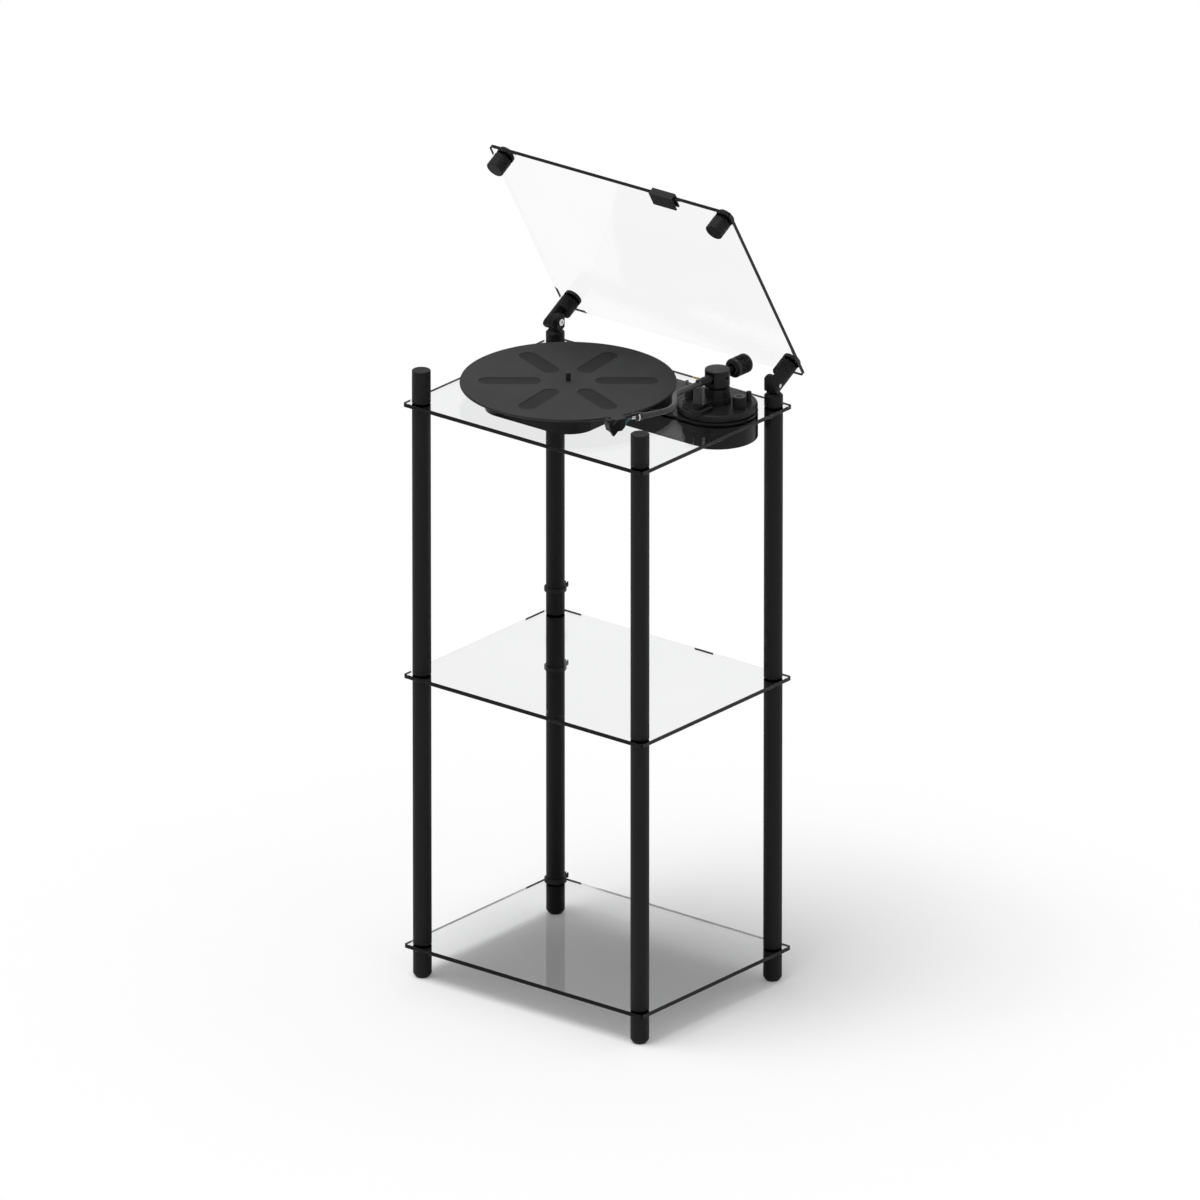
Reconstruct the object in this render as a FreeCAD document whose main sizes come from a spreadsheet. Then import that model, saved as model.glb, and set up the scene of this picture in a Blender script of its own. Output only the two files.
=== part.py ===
import FreeCAD, Part
import math
import os
import re

import Sketcher

# Record player stand: three glass shelves on four round posts, a turntable let into the
# top shelf and a hinged glass lid. Millimetres, +Z up, the origin on the floor midway
# between the four feet, the front at -Y. The lid stands open at lid_angle.

sizes = {
    # shelves
    "glass_width": 420,
    "glass_depth": 328,
    "glass_thickness": 6,
    "glass_corner": 3,
    "glass_hole_gap": 0.5,
    "cutter_margin": 1,
    # posts, feet and front caps
    "post_inset": 18,
    "post_radius": 13,
    "post_length": 392.5,
    "post_wall": 2.5,
    "post_plug": 22,
    "foot_height": 42.5,
    "foot_chamfer": 3,
    "foot_chamfer_height": 4.5,
    "pad_radius": 9,
    "pad_thickness": 2,
    "pad_stand_out": 1,
    "cap_height": 46.5,
    "cap_chamfer": 0.8,
    "stud_radius": 4,
    "stud_depth": 16,
    "stud_end_gap": 0.5,
    "washer": 0.5,
    "fit_gap": 0.05,
    "moving_gap": 0.3,
    # cable clips on the left rear post
    "clip_height": 6,
    "clip_wall": 2.6,
    "clip_hook_radius": 5.5,
    "clip_hook_sink": 1,
    "clip_bore": 3.2,
    "clip_slot": 2.6,
    "clip_middle_rise": 313.5,
    "clip_high_rise": 33,
    # rear hinges
    "hinge_stub": 15,
    "hinge_shoulder": 2.5,
    "hinge_neck_radius": 10,
    "hinge_height": 31.5,
    "knuckle_radius": 12.2,
    "hinge_face": 10,
    "hinge_pin_radius": 3,
    "hinge_pin_head": 5,
    "hinge_pin_head_depth": 1.5,
    "hinge_pin_end": 1,
    # lid
    "lid_angle": 60,
    "lid_height": 69,
    "barrel_length": 19.5,
    "lid_disc": 5,
    "lid_disc_chamfer": 0.6,
    "lid_screw_radius": 3,
    "lid_screw_depth": 10,
    "handle_left": 73,
    "handle_width": 40,
    "handle_depth": 20,
    "handle_plate": 2.5,
    "handle_front": 3,
    # turntable housing
    "housing_left": 171,
    "housing_front": 60,
    "housing_step": 5,
    "housing_corner": 40,
    "pod_x": 145.7,
    "pod_y": 80.5,
    "pod_radius": 56,
    "deck_thickness": 3.1,
    "clamp_margin": 3,
    "core_gap": 0.5,
    "tub_depth": 29.1,
    "tub_wall": 3,
    "tub_roof": 2.5,
    "cover_thickness": 2,
    "cover_gap": 0.2,
    "boss_inset": 20,
    "boss_radius": 4,
    "cover_screw_radius": 1.5,
    "cover_screw_length": 9,
    "cover_screw_head": 2.9,
    "cover_screw_head_depth": 1.1,
    # sockets in the back wall
    "socket_drop": 14,
    "signal_socket_x": 20,
    "signal_socket_step": 20,
    "socket_flange_radius": 6,
    "socket_flange": 1.5,
    "signal_barrel_radius": 4.15,
    "signal_barrel": 7.5,
    "signal_shank": 3,
    "signal_tail": 1,
    "socket_nut": 2,
    "power_inlet_left": 100,
    "power_bore": 2.85,
    "power_bore_depth": 8.5,
    "power_body_radius": 5,
    "power_body_depth": 10,
    # platter, its bearing and its drive
    "spindle_left": 51.4,
    "platter_radius": 149,
    "platter_height": 17.85,
    "disc_thickness": 2.2,
    "mat_thickness": 1.2,
    "mat_margin": 0.6,
    "slot_inner": 37,
    "slot_outer": 123,
    "slot_width": 25,
    "slot_count": 6,
    "slot_angle": 38.8,
    "spindle_radius": 3.55,
    "spindle_height": 13,
    "spindle_tip": 1.5,
    "shaft_radius": 5,
    "bearing_radius": 9,
    "bearing_depth": 28,
    "bearing_floor": 3,
    "bearing_flange_radius": 14,
    "bearing_flange": 1.5,
    "hub_radius": 45,
    "hub_collar_radius": 16,
    "hub_rim": 8,
    "belt_width": 5,
    "belt_thickness": 1,
    "belt_gap": 0.2,
    "motor_back": 61,
    "motor_left": 73,
    "motor_radius": 17,
    "motor_height": 20,
    "motor_floor": 1,
    "motor_shaft_radius": 1.5,
    "pulley_radius": 6,
    "pulley_lip": 1,
    "pulley_height": 9,
    "motor_hole_gap": 2.5,
    # tonearm base
    "flange_radius": 55.5,
    "flange_neck_radius": 52,
    "flange_neck": 2.3,
    "flange_thickness": 8.6,
    "flange_chamfer": 0.8,
    "bracket_height": 9,
    "bracket_radius": 19,
    "bracket_end_radius": 9,
    "cue_post_left": 21.2,
    "cue_post_front": 35.5,
    "cue_post_radius": 6,
    "cue_post_height": 17,
    "rest_left": 0.7,
    "rest_front": 41.5,
    "rest_width": 10,
    "rest_depth": 7,
    "rest_drop": 6,
    "housing_radius": 17.5,
    "housing_height": 13,
    "turret_neck_radius": 12,
    "turret_radius": 17.3,
    "turret_bottom": 13.1,
    "turret_top": 10,
    "turret_chamfer": 0.6,
    "turret_shaft": 23,
    "tunnel_half_width": 6.5,
    "tunnel_half_height": 7.5,
    "arm_height": 52.5,
    # tonearm
    "gimbal_half_width": 5,
    "gimbal_half_length": 9,
    "gimbal_half_height": 4.6,
    "gimbal_pin_radius": 2,
    "gimbal_pin_reach": 13,
    "arm_radius": 4,
    "arm_wall": 0.8,
    "arm_straight": 93,
    "arm_slope": 56,
    "arm_slope_angle": 38.5,
    "arm_tail": 57,
    "arm_tail_angle": 22,
    "arm_first_bend": 28,
    "arm_second_bend": 40,
    "collar_radius": 5.2,
    "collar_length": 4,
    "collar_overlap": 6,
    "shell_length": 46,
    "shell_neck": 18,
    "shell_neck_width": 5,
    "shell_width": 17,
    "shell_nose": 9,
    "shell_thickness": 3,
    "shell_top": 5,
    "shell_screw_radius": 1.3,
    "shell_screw_back": 8,
    "shell_screw_spread": 5,
    "shell_screw_head": 2.3,
    "shell_screw_head_height": 1.2,
    "cartridge_back": 20,
    "cartridge_length": 25,
    "cartridge_width": 15,
    "cartridge_height": 14.5,
    "cartridge_taper": 5,
    "stylus_back": 9,
    "stylus_width": 6,
    "stylus_drop": 8,
    "stylus_tip": 1,
    "lift_radius": 0.9,
    "lift_length": 16,
    "lift_root": 1.5,
    "lift_back": 12,
    "lift_turn": 50,
    "stub_radius": 3.5,
    "stub_end": 52,
    # counterweight on its threaded sleeve
    "weight_radius": 13.7,
    "weight_front": 34,
    "weight_length": 28,
    "weight_back_wall": 2,
    "weight_chamfer": 1.2,
    "sleeve_radius": 5,
    "sleeve_end_gap": 2,
    "dial_ring_radius": 10.5,
    "dial_ring": 2.7,
    # cueing lift and lever
    "lift_pin_radius": 2.5,
    "lift_pin_depth": 14,
    "lift_plate_height": 27,
    "lift_plate": 3,
    "lift_plate_width": 4,
    "lift_start_angle": 13,
    "lift_end_angle": 58,
    "lever_radius": 2,
    "lever_rise": 4.6,
    "lever_back": 28.5,
    "lever_pin_depth": 5,
    "lever_reach": 30,
    "lever_out": 6,
    "lever_hook": 18,
    "lever_first_bend": 4.8,
    "lever_second_bend": 6,
    # anti-skate dial and guide post
    "skate_right": 37.3,
    "skate_back": 1.5,
    "skate_radius": 9.6,
    "skate_height": 16.7,
    "skate_chamfer": 1,
    "skate_pin_radius": 2,
    "skate_pin_depth": 5,
    "guide_right": 33.3,
    "guide_back": 27.5,
    "guide_radius": 3.65,
    "guide_height": 15,
}

# Places worked out from the sizes. Levels are heights above the floor; what stands on the
# top shelf is measured from top_level, and what turns with the lid from its hinge axis.
place_formulas = {
    "post_x": "glass_width / 2 - post_inset",
    "post_y": "glass_depth / 2 - post_inset",
    "low_glass": "foot_height + washer",
    "low_level": "low_glass + glass_thickness",
    "middle_glass": "low_level + 2 * washer + post_length",
    "middle_level": "middle_glass + glass_thickness",
    "top_glass": "middle_level + 2 * washer + post_length",
    "top_level": "top_glass + glass_thickness",
    "stud_bore": "stud_radius + fit_gap",
    "glass_hole": "stud_radius + glass_hole_gap",
    "hinge_level": "top_level + hinge_height",
    "lid_rise": "lid_height - hinge_height",
    "lid_metal": "lid_rise - washer",
    "barrel_bottom": "lid_metal - barrel_length",
    "knob_bottom": "washer + cap_height + moving_gap - hinge_height",
    "lid_front": "-(glass_depth / 2 + post_y)",
    "hinge_pin_bore": "hinge_pin_radius + fit_gap",
    "lid_screw_bore": "lid_screw_radius + fit_gap",
    "lid_glass_hole": "lid_screw_radius + glass_hole_gap",
    "deck_level": "top_level + deck_thickness",
    "housing_back": "pod_y + pod_radius",
    "tub_bottom": "top_glass - tub_depth",
    "roof_underside": "top_glass - tub_roof",
    "socket_level": "top_glass - socket_drop",
    "spindle_x": "-spindle_left",
    "disc_level": "top_level + platter_height",
    "mat_level": "disc_level + disc_thickness",
    "record_level": "mat_level + mat_thickness",
    "shaft_bore": "shaft_radius + fit_gap",
    "hub_bottom": "deck_level + bearing_flange + moving_gap",
    "belt_level": "hub_bottom + hub_rim / 2",
    "motor_x": "spindle_x - motor_left",
    "motor_top": "roof_underside",
    "flange_bottom": "deck_level + flange_neck",
    "flange_level": "flange_bottom + flange_thickness",
    "bracket_level": "flange_level + bracket_height",
    "housing_level": "bracket_level + housing_height",
    "arm_level": "top_level + arm_height",
    "cue_x": "pod_x - cue_post_left",
    "cue_y": "pod_y - cue_post_front",
    "rest_x": "pod_x - rest_left",
    "rest_y": "pod_y - rest_front",
    "rest_level": "arm_level - rest_drop",
    "shell_x": "pod_x + arm_slope * sin(arm_slope_angle) - arm_tail * sin(arm_tail_angle)",
    "shell_y": "pod_y - arm_straight - arm_slope * cos(arm_slope_angle)"
               " - arm_tail * cos(arm_tail_angle)",
    "lever_level": "flange_level + lever_rise",
    "lever_y": "pod_y - lever_back",
    "lever_x": "rest_x + bracket_end_radius",
    "lift_plate_level": "flange_level + lift_plate_height",
    "skate_x": "pod_x + skate_right",
    "skate_y": "pod_y + skate_back",
}

doc = FreeCAD.newDocument("RecordPlayerStand")
sheet = doc.addObject("Spreadsheet::Sheet", "Sizes")
places = doc.addObject("App::VarSet", "Places")
nodes = []


def named(formula):
    # a formula in plain words, with the sheet or the place list in front of each name
    def owned(match):
        word = match.group()
        if word in sizes:
            return "Sizes." + word
        if word in place_formulas:
            return "Places." + word
        return word

    return re.sub(r"[a-z][a-z_]*", owned, formula)


def value(name):
    # a size or a place as a number, for the pieces whose outline is worked out here
    return float(getattr(sheet if name in sizes else places, name))


def fill_sheet():
    for row, (name, size) in enumerate(sizes.items(), 1):
        sheet.set(f"A{row}", name)
        sheet.set(f"B{row}", str(size))
        sheet.setAlias(f"B{row}", name)
    doc.recompute()
    for name in place_formulas:
        places.addProperty("App::PropertyFloat", name)
    for name, formula in place_formulas.items():
        places.setExpression(name, named(formula))
    doc.recompute()


def bind(item, formulas):
    for prop, formula in formulas.items():
        item.setExpression(prop, named(formula))
    return item


def put(item, x, y, z, axis=None, angle=None):
    # place an item, turned about an axis by a fixed angle or by a formula
    if axis is not None:
        start = angle if isinstance(angle, (int, float)) else 1
        item.Placement.Rotation = FreeCAD.Rotation(FreeCAD.Vector(*axis), start)
        if isinstance(angle, str):
            bind(item, {"Placement.Rotation.Angle": angle})
    return bind(item, {"Placement.Base.x": x, "Placement.Base.y": y, "Placement.Base.z": z})


def node(label, item):
    item.Label = label
    nodes.append(item)
    return item


def box(x0, x1, y0, y1, z0, z1):
    item = doc.addObject("Part::Box", "Block")
    bind(item, {
        "Length": f"({x1}) - ({x0})",
        "Width": f"({y1}) - ({y0})",
        "Height": f"({z1}) - ({z0})",
    })
    return put(item, x0, y0, z0)


def rod(x, y, z, radius, length, along="z"):
    # a cylinder that starts at a point and runs along +X, +Y or +Z
    item = doc.addObject("Part::Cylinder", "Rod")
    bind(item, {"Radius": radius, "Height": length})
    turns = {"x": ((0, 1, 0), 90), "y": ((1, 0, 0), -90)}
    return put(item, x, y, z, *turns.get(along, ()))


def fuse(*items):
    item = doc.addObject("Part::MultiFuse", "Union")
    item.Shapes = list(items)
    item.Refine = True
    return item


def cut(base, *tools):
    item = doc.addObject("Part::Cut", "Cut")
    item.Base = base
    item.Tool = tools[0] if len(tools) == 1 else fuse(*tools)
    return item


def common(base, *tools):
    for tool in tools:
        item = doc.addObject("Part::Common", "Common")
        item.Base = base
        item.Tool = tool
        base = item
    return base


def group(items):
    item = doc.addObject("Part::Compound", "Group")
    item.Links = list(items)
    return item


def sketch_on(body, role, name):
    plane = [feature for feature in body.Origin.OriginFeatures if feature.Role == role][0]
    sketch = body.newObject("Sketcher::SketchObject", name)
    sketch.AttachmentSupport = (plane, [""])
    sketch.MapMode = "FlatFace"
    return sketch


def fix(sketch, kind, geometry, point, formula, start):
    index = sketch.addConstraint(Sketcher.Constraint(kind, -1, 1, geometry, point, start))
    sketch.setExpression(f"Constraints[{index}]", named(formula))


def polygon(sketch, corners):
    # a closed outline whose corners are each held by two formulas
    count = len(corners)
    spots = []
    for index in range(count):
        turn = 2 * math.pi * index / count
        spots.append(FreeCAD.Vector(10 * math.cos(turn), 10 * math.sin(turn), 0))
    for index in range(count):
        sketch.addGeometry(Part.LineSegment(spots[index], spots[(index + 1) % count]), False)
    for index in range(count):
        following = (index + 1) % count
        sketch.addConstraint(Sketcher.Constraint("Coincident", index, 2, following, 1))
    for index, (across, up) in enumerate(corners):
        fix(sketch, "DistanceX", index, 1, across, spots[index].x)
        fix(sketch, "DistanceY", index, 1, up, spots[index].y)


def turned(profile):
    # a lathe-turned piece from its half outline, as pairs of radius and height
    body = doc.addObject("PartDesign::Body", "Turned")
    sketch = sketch_on(body, "XZ_Plane", "Profile")
    polygon(sketch, profile)
    turn = body.newObject("PartDesign::Revolution", "Turn")
    turn.Profile = (sketch, [""])
    turn.ReferenceAxis = (sketch, ["V_Axis"])
    turn.Angle = 360
    return body


def padded(role, corners, length):
    body = doc.addObject("PartDesign::Body", "Padded")
    sketch = sketch_on(body, role, "Outline")
    polygon(sketch, corners)
    pad = body.newObject("PartDesign::Pad", "Pad")
    pad.Profile = (sketch, [""])
    bind(pad, {"Length": length})
    return body


def round_corners(body, base, radius):
    doc.recompute()
    upright = []
    for number, edge in enumerate(base.Shape.Edges, 1):
        first, last = edge.Vertexes[0].Point, edge.Vertexes[-1].Point
        if abs(first.x - last.x) < 1e-6 and abs(first.y - last.y) < 1e-6:
            upright.append(f"Edge{number}")
    fillet = body.newObject("PartDesign::Fillet", "Corners")
    fillet.Base = (base, upright)
    bind(fillet, {"Radius": radius})
    return fillet


def circles(sketch, spots, radius):
    for number, (across, up) in enumerate(spots):
        start = FreeCAD.Vector(10 * number, 10, 0)
        circle = Part.Circle(start, FreeCAD.Vector(0, 0, 1), 2)
        index = sketch.addGeometry(circle, False)
        fix(sketch, "DistanceX", index, 3, across, start.x)
        fix(sketch, "DistanceY", index, 3, up, start.y)
        held = sketch.addConstraint(Sketcher.Constraint("Radius", index, 2))
        sketch.setExpression(f"Constraints[{held}]", named(radius))


def pocket_through(body, sketch):
    before = body.Shape.Volume
    pocket = body.newObject("PartDesign::Pocket", "Holes")
    pocket.Profile = (sketch, [""])
    pocket.Type = "ThroughAll"
    pocket.Reversed = True
    doc.recompute()
    if pocket.Shape.Volume >= before:
        raise RuntimeError("a pocket cuts nothing")
    return pocket


def glass_plate(hole):
    # a sheet of glass with eased corners and a hole over each post, its underside at z 0
    half_width, half_depth = "glass_width / 2", "glass_depth / 2"
    corners = [
        (f"-{half_width}", f"-{half_depth}"),
        (half_width, f"-{half_depth}"),
        (half_width, half_depth),
        (f"-{half_width}", half_depth),
    ]
    body = padded("XY_Plane", corners, "glass_thickness")
    round_corners(body, body.Tip, "glass_corner")
    doc.recompute()
    holes = sketch_on(body, "XY_Plane", "HoleCircles")
    spots = [(f"{side} * post_x", f"{row} * post_y") for side in (-1, 1) for row in (-1, 1)]
    circles(holes, spots, hole)
    pocket_through(body, holes)
    return body


def washer_ring(x, y, z, bore):
    outer = rod(x, y, z, "post_radius", "washer")
    return cut(outer, rod(x, y, z, bore, "washer"))


def housing(inset, bottom, height):
    # the housing's outline, drawn in by an inset: a rounded block under the platter and an
    # arm with a round end under the tonearm
    corner = f"(housing_corner - {inset})"
    left = f"-(housing_left - {inset})"
    right = f"housing_step - {inset}"
    front = f"-(housing_front - {inset})"
    back = f"housing_back - {inset}"
    arm_front = f"pod_y - pod_radius + {inset}"
    top = f"{bottom} + {height}"
    round_end = f"pod_radius - {inset}"
    corner_spots = [
        (f"{left} + {corner}", f"{front} + {corner}"),
        (f"{right} - {corner}", f"{front} + {corner}"),
        (f"{left} + {corner}", f"{back} - {corner}"),
    ]
    parts = [rod(x, y, bottom, corner, height) for x, y in corner_spots]
    parts.append(box(f"{left} + {corner}", f"{right} - {corner}", front, back, bottom, top))
    parts.append(box(left, right, f"{front} + {corner}", f"{back} - {corner}", bottom, top))
    parts.append(box(f"{right} - {corner}", "pod_x", arm_front, back, bottom, top))
    parts.append(rod("pod_x", "pod_y", bottom, round_end, height))
    return fuse(*parts)


sides = {"left": -1, "right": 1}
rows = {"front": -1, "rear": 1}


def corner_spots():
    for row, along in rows.items():
        for side, across in sides.items():
            yield f"{row}_{side}", f"{across} * post_x", f"{along} * post_y"


def build_feet():
    profile = [
        ("0", "pad_thickness"),
        ("pad_radius", "pad_thickness"),
        ("pad_radius", "pad_stand_out"),
        ("post_radius - foot_chamfer", "pad_stand_out"),
        ("post_radius", "pad_stand_out + foot_chamfer_height"),
        ("post_radius", "foot_height"),
        ("stud_bore", "foot_height"),
        ("stud_bore", "foot_height - stud_depth"),
        ("0", "foot_height - stud_depth"),
    ]
    pads = []
    for where, x, y in corner_spots():
        node(f"foot_{where}", put(turned(profile), x, y, "0"))
        pads.append(rod(x, y, "0", "pad_radius - fit_gap", "pad_thickness"))
    node("foot_pads", group(pads))


def build_posts():
    # tubes with a thick end, tapped for the studs
    inner = "post_radius - post_wall"
    profile = [
        ("stud_bore", "0"),
        ("post_radius", "0"),
        ("post_radius", "post_length"),
        ("stud_bore", "post_length"),
        ("stud_bore", "post_length - post_plug"),
        (inner, "post_length - post_plug"),
        (inner, "post_plug"),
        ("stud_bore", "post_plug"),
    ]
    for name, level in (("lower", "low_level"), ("upper", "middle_level")):
        for where, x, y in corner_spots():
            node(f"{name}_post_{where}", put(turned(profile), x, y, f"{level} + washer"))


def build_joint_hardware():
    # one threaded stud through each glass at each post, with a washer above and below
    levels = {"low": "low_glass", "middle": "middle_glass", "top": "top_glass"}
    reach = "stud_depth + washer - stud_end_gap"
    studs, washers = [], []
    for glass in levels.values():
        for _, x, y in corner_spots():
            length = f"2 * ({reach}) + glass_thickness"
            studs.append(rod(x, y, f"{glass} - ({reach})", "stud_radius", length))
            washers.append(washer_ring(x, y, f"{glass} - washer", "stud_bore"))
            washers.append(washer_ring(x, y, f"{glass} + glass_thickness", "stud_bore"))
    node("shelf_studs", group(studs))
    node("shelf_washers", group(washers))


def build_shelves():
    node("bottom_shelf", put(glass_plate("glass_hole"), "0", "0", "low_glass"))
    node("middle_shelf", put(glass_plate("glass_hole"), "0", "0", "middle_glass"))
    plate = put(glass_plate("glass_hole"), "0", "0", "top_glass")
    opening = housing("clamp_margin", "top_glass - cutter_margin",
                      "glass_thickness + 2 * cutter_margin")
    node("top_plate", cut(plate, opening))


def build_front_caps():
    profile = [
        ("0", "stud_depth"),
        ("stud_bore", "stud_depth"),
        ("stud_bore", "0"),
        ("post_radius", "0"),
        ("post_radius", "cap_height - cap_chamfer"),
        ("post_radius - cap_chamfer", "cap_height"),
        ("0", "cap_height"),
    ]
    for side, across in sides.items():
        cap = put(turned(profile), f"{across} * post_x", "-post_y", "top_level + washer")
        node(f"front_cap_{side}", cap)


def half_block(toward, reach, z0, z1):
    # one half of a hinge, seen along its middle plane, less half of the running gap
    gap = "moving_gap / 2"
    ends = (gap, reach) if toward > 0 else (f"-{reach}", f"-{gap}")
    return box(*ends, "-post_radius", "post_radius", z0, z1)


def build_hinge_posts():
    # a stub with a shoulder and a neck carries the inner half of the knuckle
    foot = "washer + hinge_stub"
    shoulder = f"{foot} + hinge_shoulder"
    neck_top = "hinge_height - knuckle_radius - moving_gap"
    profile = [
        ("0", "washer + stud_depth"),
        ("stud_bore", "washer + stud_depth"),
        ("stud_bore", "washer"),
        ("post_radius", "washer"),
        ("post_radius", foot),
        ("hinge_neck_radius", shoulder),
        ("hinge_neck_radius", neck_top),
        ("0", neck_top),
    ]
    for side, across in sides.items():
        x = f"{across} * post_x"
        stub = turned(profile)
        disc = rod("-post_radius", "0", "hinge_height", "knuckle_radius", "2 * post_radius", "x")
        neck = rod("0", "0", shoulder, "hinge_neck_radius", f"hinge_height - ({shoulder})")
        half = half_block(-across, "hinge_face", shoulder, "hinge_height + post_radius")
        envelope = rod("0", "0", "0", "post_radius", "hinge_height + post_radius")
        knuckle = common(half, envelope, fuse(disc, neck))
        bore = rod("-post_radius", "0", "hinge_height", "hinge_pin_bore", "2 * post_radius", "x")
        post = cut(fuse(stub, knuckle), bore)
        node(f"hinge_post_{side}", put(post, x, "post_y", "top_level"))


def build_hinge_pins():
    pins = []
    for across in sides.values():
        inner = f"{across} * (post_x - hinge_face)"
        start = f"{across} * post_x"
        if across < 0:
            shank = rod(f"{start} - post_radius + hinge_pin_end", "post_y", "hinge_level",
                        "hinge_pin_radius", "post_radius - hinge_pin_end + hinge_face", "x")
            head = rod(inner, "post_y", "hinge_level", "hinge_pin_head", "hinge_pin_head_depth",
                       "x")
        else:
            shank = rod(inner, "post_y", "hinge_level", "hinge_pin_radius",
                        "post_radius - hinge_pin_end + hinge_face", "x")
            head = rod(f"{inner} - hinge_pin_head_depth", "post_y", "hinge_level",
                       "hinge_pin_head", "hinge_pin_head_depth", "x")
        pins.append(fuse(shank, head))
    node("hinge_pins", group(pins))


def build_cable_clips():
    # snap rings on the left rear post, each with an open hook for a cable at the back
    ring_radius = "post_radius + clip_wall"
    hook_y = f"post_y + {ring_radius} + clip_hook_radius - clip_hook_sink"
    levels = ["low_level", "low_level + clip_middle_rise", "middle_level + clip_high_rise"]
    clips = []
    for z in levels:
        ring = rod("-post_x", "post_y", z, ring_radius, "clip_height")
        hook = rod("-post_x", hook_y, z, "clip_hook_radius", "clip_height")
        post = rod("-post_x", "post_y", z, "post_radius + fit_gap", "clip_height")
        bore = rod("-post_x", hook_y, z, "clip_bore", "clip_height")
        slot = box("-post_x - clip_slot / 2", "-post_x + clip_slot / 2", hook_y,
                   f"{hook_y} + 2 * clip_hook_radius", z, f"{z} + clip_height")
        clips.append(cut(fuse(ring, hook), post, bore, slot))
    node("cable_clips", group(clips))


def boss_spots():
    left, right = "-(housing_left - boss_inset)", "housing_step - boss_inset"
    front, back = "-(housing_front - boss_inset)", "housing_back - boss_inset"
    arm_front = "pod_y - pod_radius + boss_inset"
    return [(left, front), (right, front), (left, back), (right, back), ("pod_x", arm_front),
            ("pod_x", back)]


def build_housing():
    # a deck plate on the glass, its core through the cut-out, and a tub clamped below
    plate = housing("0", "top_level", "deck_thickness")
    core = housing("(clamp_margin + core_gap)", "top_glass", "glass_thickness")
    shaft_hole = "motor_shaft_radius + motor_hole_gap"
    holes = [
        rod("spindle_x", "0", "top_glass", "bearing_radius + fit_gap", "2 * glass_thickness"),
        rod("motor_x", "motor_back", "top_glass", shaft_hole, "2 * glass_thickness"),
    ]
    node("deck", cut(fuse(plate, core), *holes))

    shell = housing("0", "tub_bottom", "tub_depth")
    hollow = housing("tub_wall", "tub_bottom", "tub_depth - tub_roof")
    roof_holes = [
        rod("spindle_x", "0", "roof_underside", "bearing_radius + fit_gap", "tub_roof"),
        rod("motor_x", "motor_back", "roof_underside", shaft_hole, "tub_roof"),
    ]
    back_wall = "housing_back - tub_wall"
    for x in signal_spots():
        bore = "signal_shank + fit_gap"
        roof_holes.append(rod(x, back_wall, "socket_level", bore, "tub_wall", "y"))
    roof_holes.append(rod("-power_inlet_left", back_wall, "socket_level",
                          "power_body_radius + fit_gap", "tub_wall", "y"))
    cover_level = "tub_bottom + cover_thickness"
    boss_height = f"roof_underside - ({cover_level})"
    bosses = [rod(x, y, cover_level, "boss_radius", boss_height) for x, y in boss_spots()]
    screw_bore = "cover_screw_radius + fit_gap"
    screw_holes = [rod(x, y, cover_level, screw_bore, "cover_screw_length")
                   for x, y in boss_spots()]
    walls = cut(shell, hollow, *roof_holes)
    node("tub", cut(fuse(walls, *bosses), *screw_holes))

    cover = housing("(tub_wall + cover_gap)", "tub_bottom", "cover_thickness")
    clear = [rod(x, y, "tub_bottom", screw_bore, "cover_thickness") for x, y in boss_spots()]
    sunk = [rod(x, y, "tub_bottom", "cover_screw_head + fit_gap", "cover_screw_head_depth")
            for x, y in boss_spots()]
    node("bottom_cover", cut(cover, *clear, *sunk))

    screws = []
    for x, y in boss_spots():
        head = rod(x, y, "tub_bottom", "cover_screw_head", "cover_screw_head_depth")
        shank = rod(x, y, "tub_bottom", "cover_screw_radius", "cover_screw_length")
        screws.append(fuse(head, shank))
    node("cover_screws", group(screws))


def signal_spots():
    return ["signal_socket_x", "signal_socket_x + signal_socket_step"]


def build_sockets():
    # turned pieces that lie along +Y through the back wall of the tub
    wall = "tub_wall"
    nut_back = f"-{wall} - socket_nut"
    signal = [
        ("0", f"{nut_back} - signal_tail"),
        ("signal_shank", f"{nut_back} - signal_tail"),
        ("signal_shank", nut_back),
        ("socket_flange_radius", nut_back),
        ("socket_flange_radius", f"-{wall}"),
        ("signal_shank", f"-{wall}"),
        ("signal_shank", "0"),
        ("socket_flange_radius", "0"),
        ("socket_flange_radius", "socket_flange"),
        ("signal_barrel_radius", "socket_flange"),
        ("signal_barrel_radius", "socket_flange + signal_barrel"),
        ("0", "socket_flange + signal_barrel"),
    ]
    back = (-1, 0, 0), 90
    sockets = [put(turned(signal), x, "housing_back", "socket_level", *back)
               for x in signal_spots()]
    node("signal_sockets", group(sockets))
    power = [
        ("0", "-power_body_depth"),
        ("power_body_radius", "-power_body_depth"),
        ("power_body_radius", "0"),
        ("power_body_radius + socket_flange", "0"),
        ("power_body_radius + socket_flange", "socket_flange"),
        ("power_bore", "socket_flange"),
        ("power_bore", "socket_flange - power_bore_depth"),
        ("0", "socket_flange - power_bore_depth"),
    ]
    inlet = put(turned(power), "-power_inlet_left", "housing_back", "socket_level", *back)
    node("power_inlet", inlet)


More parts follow.
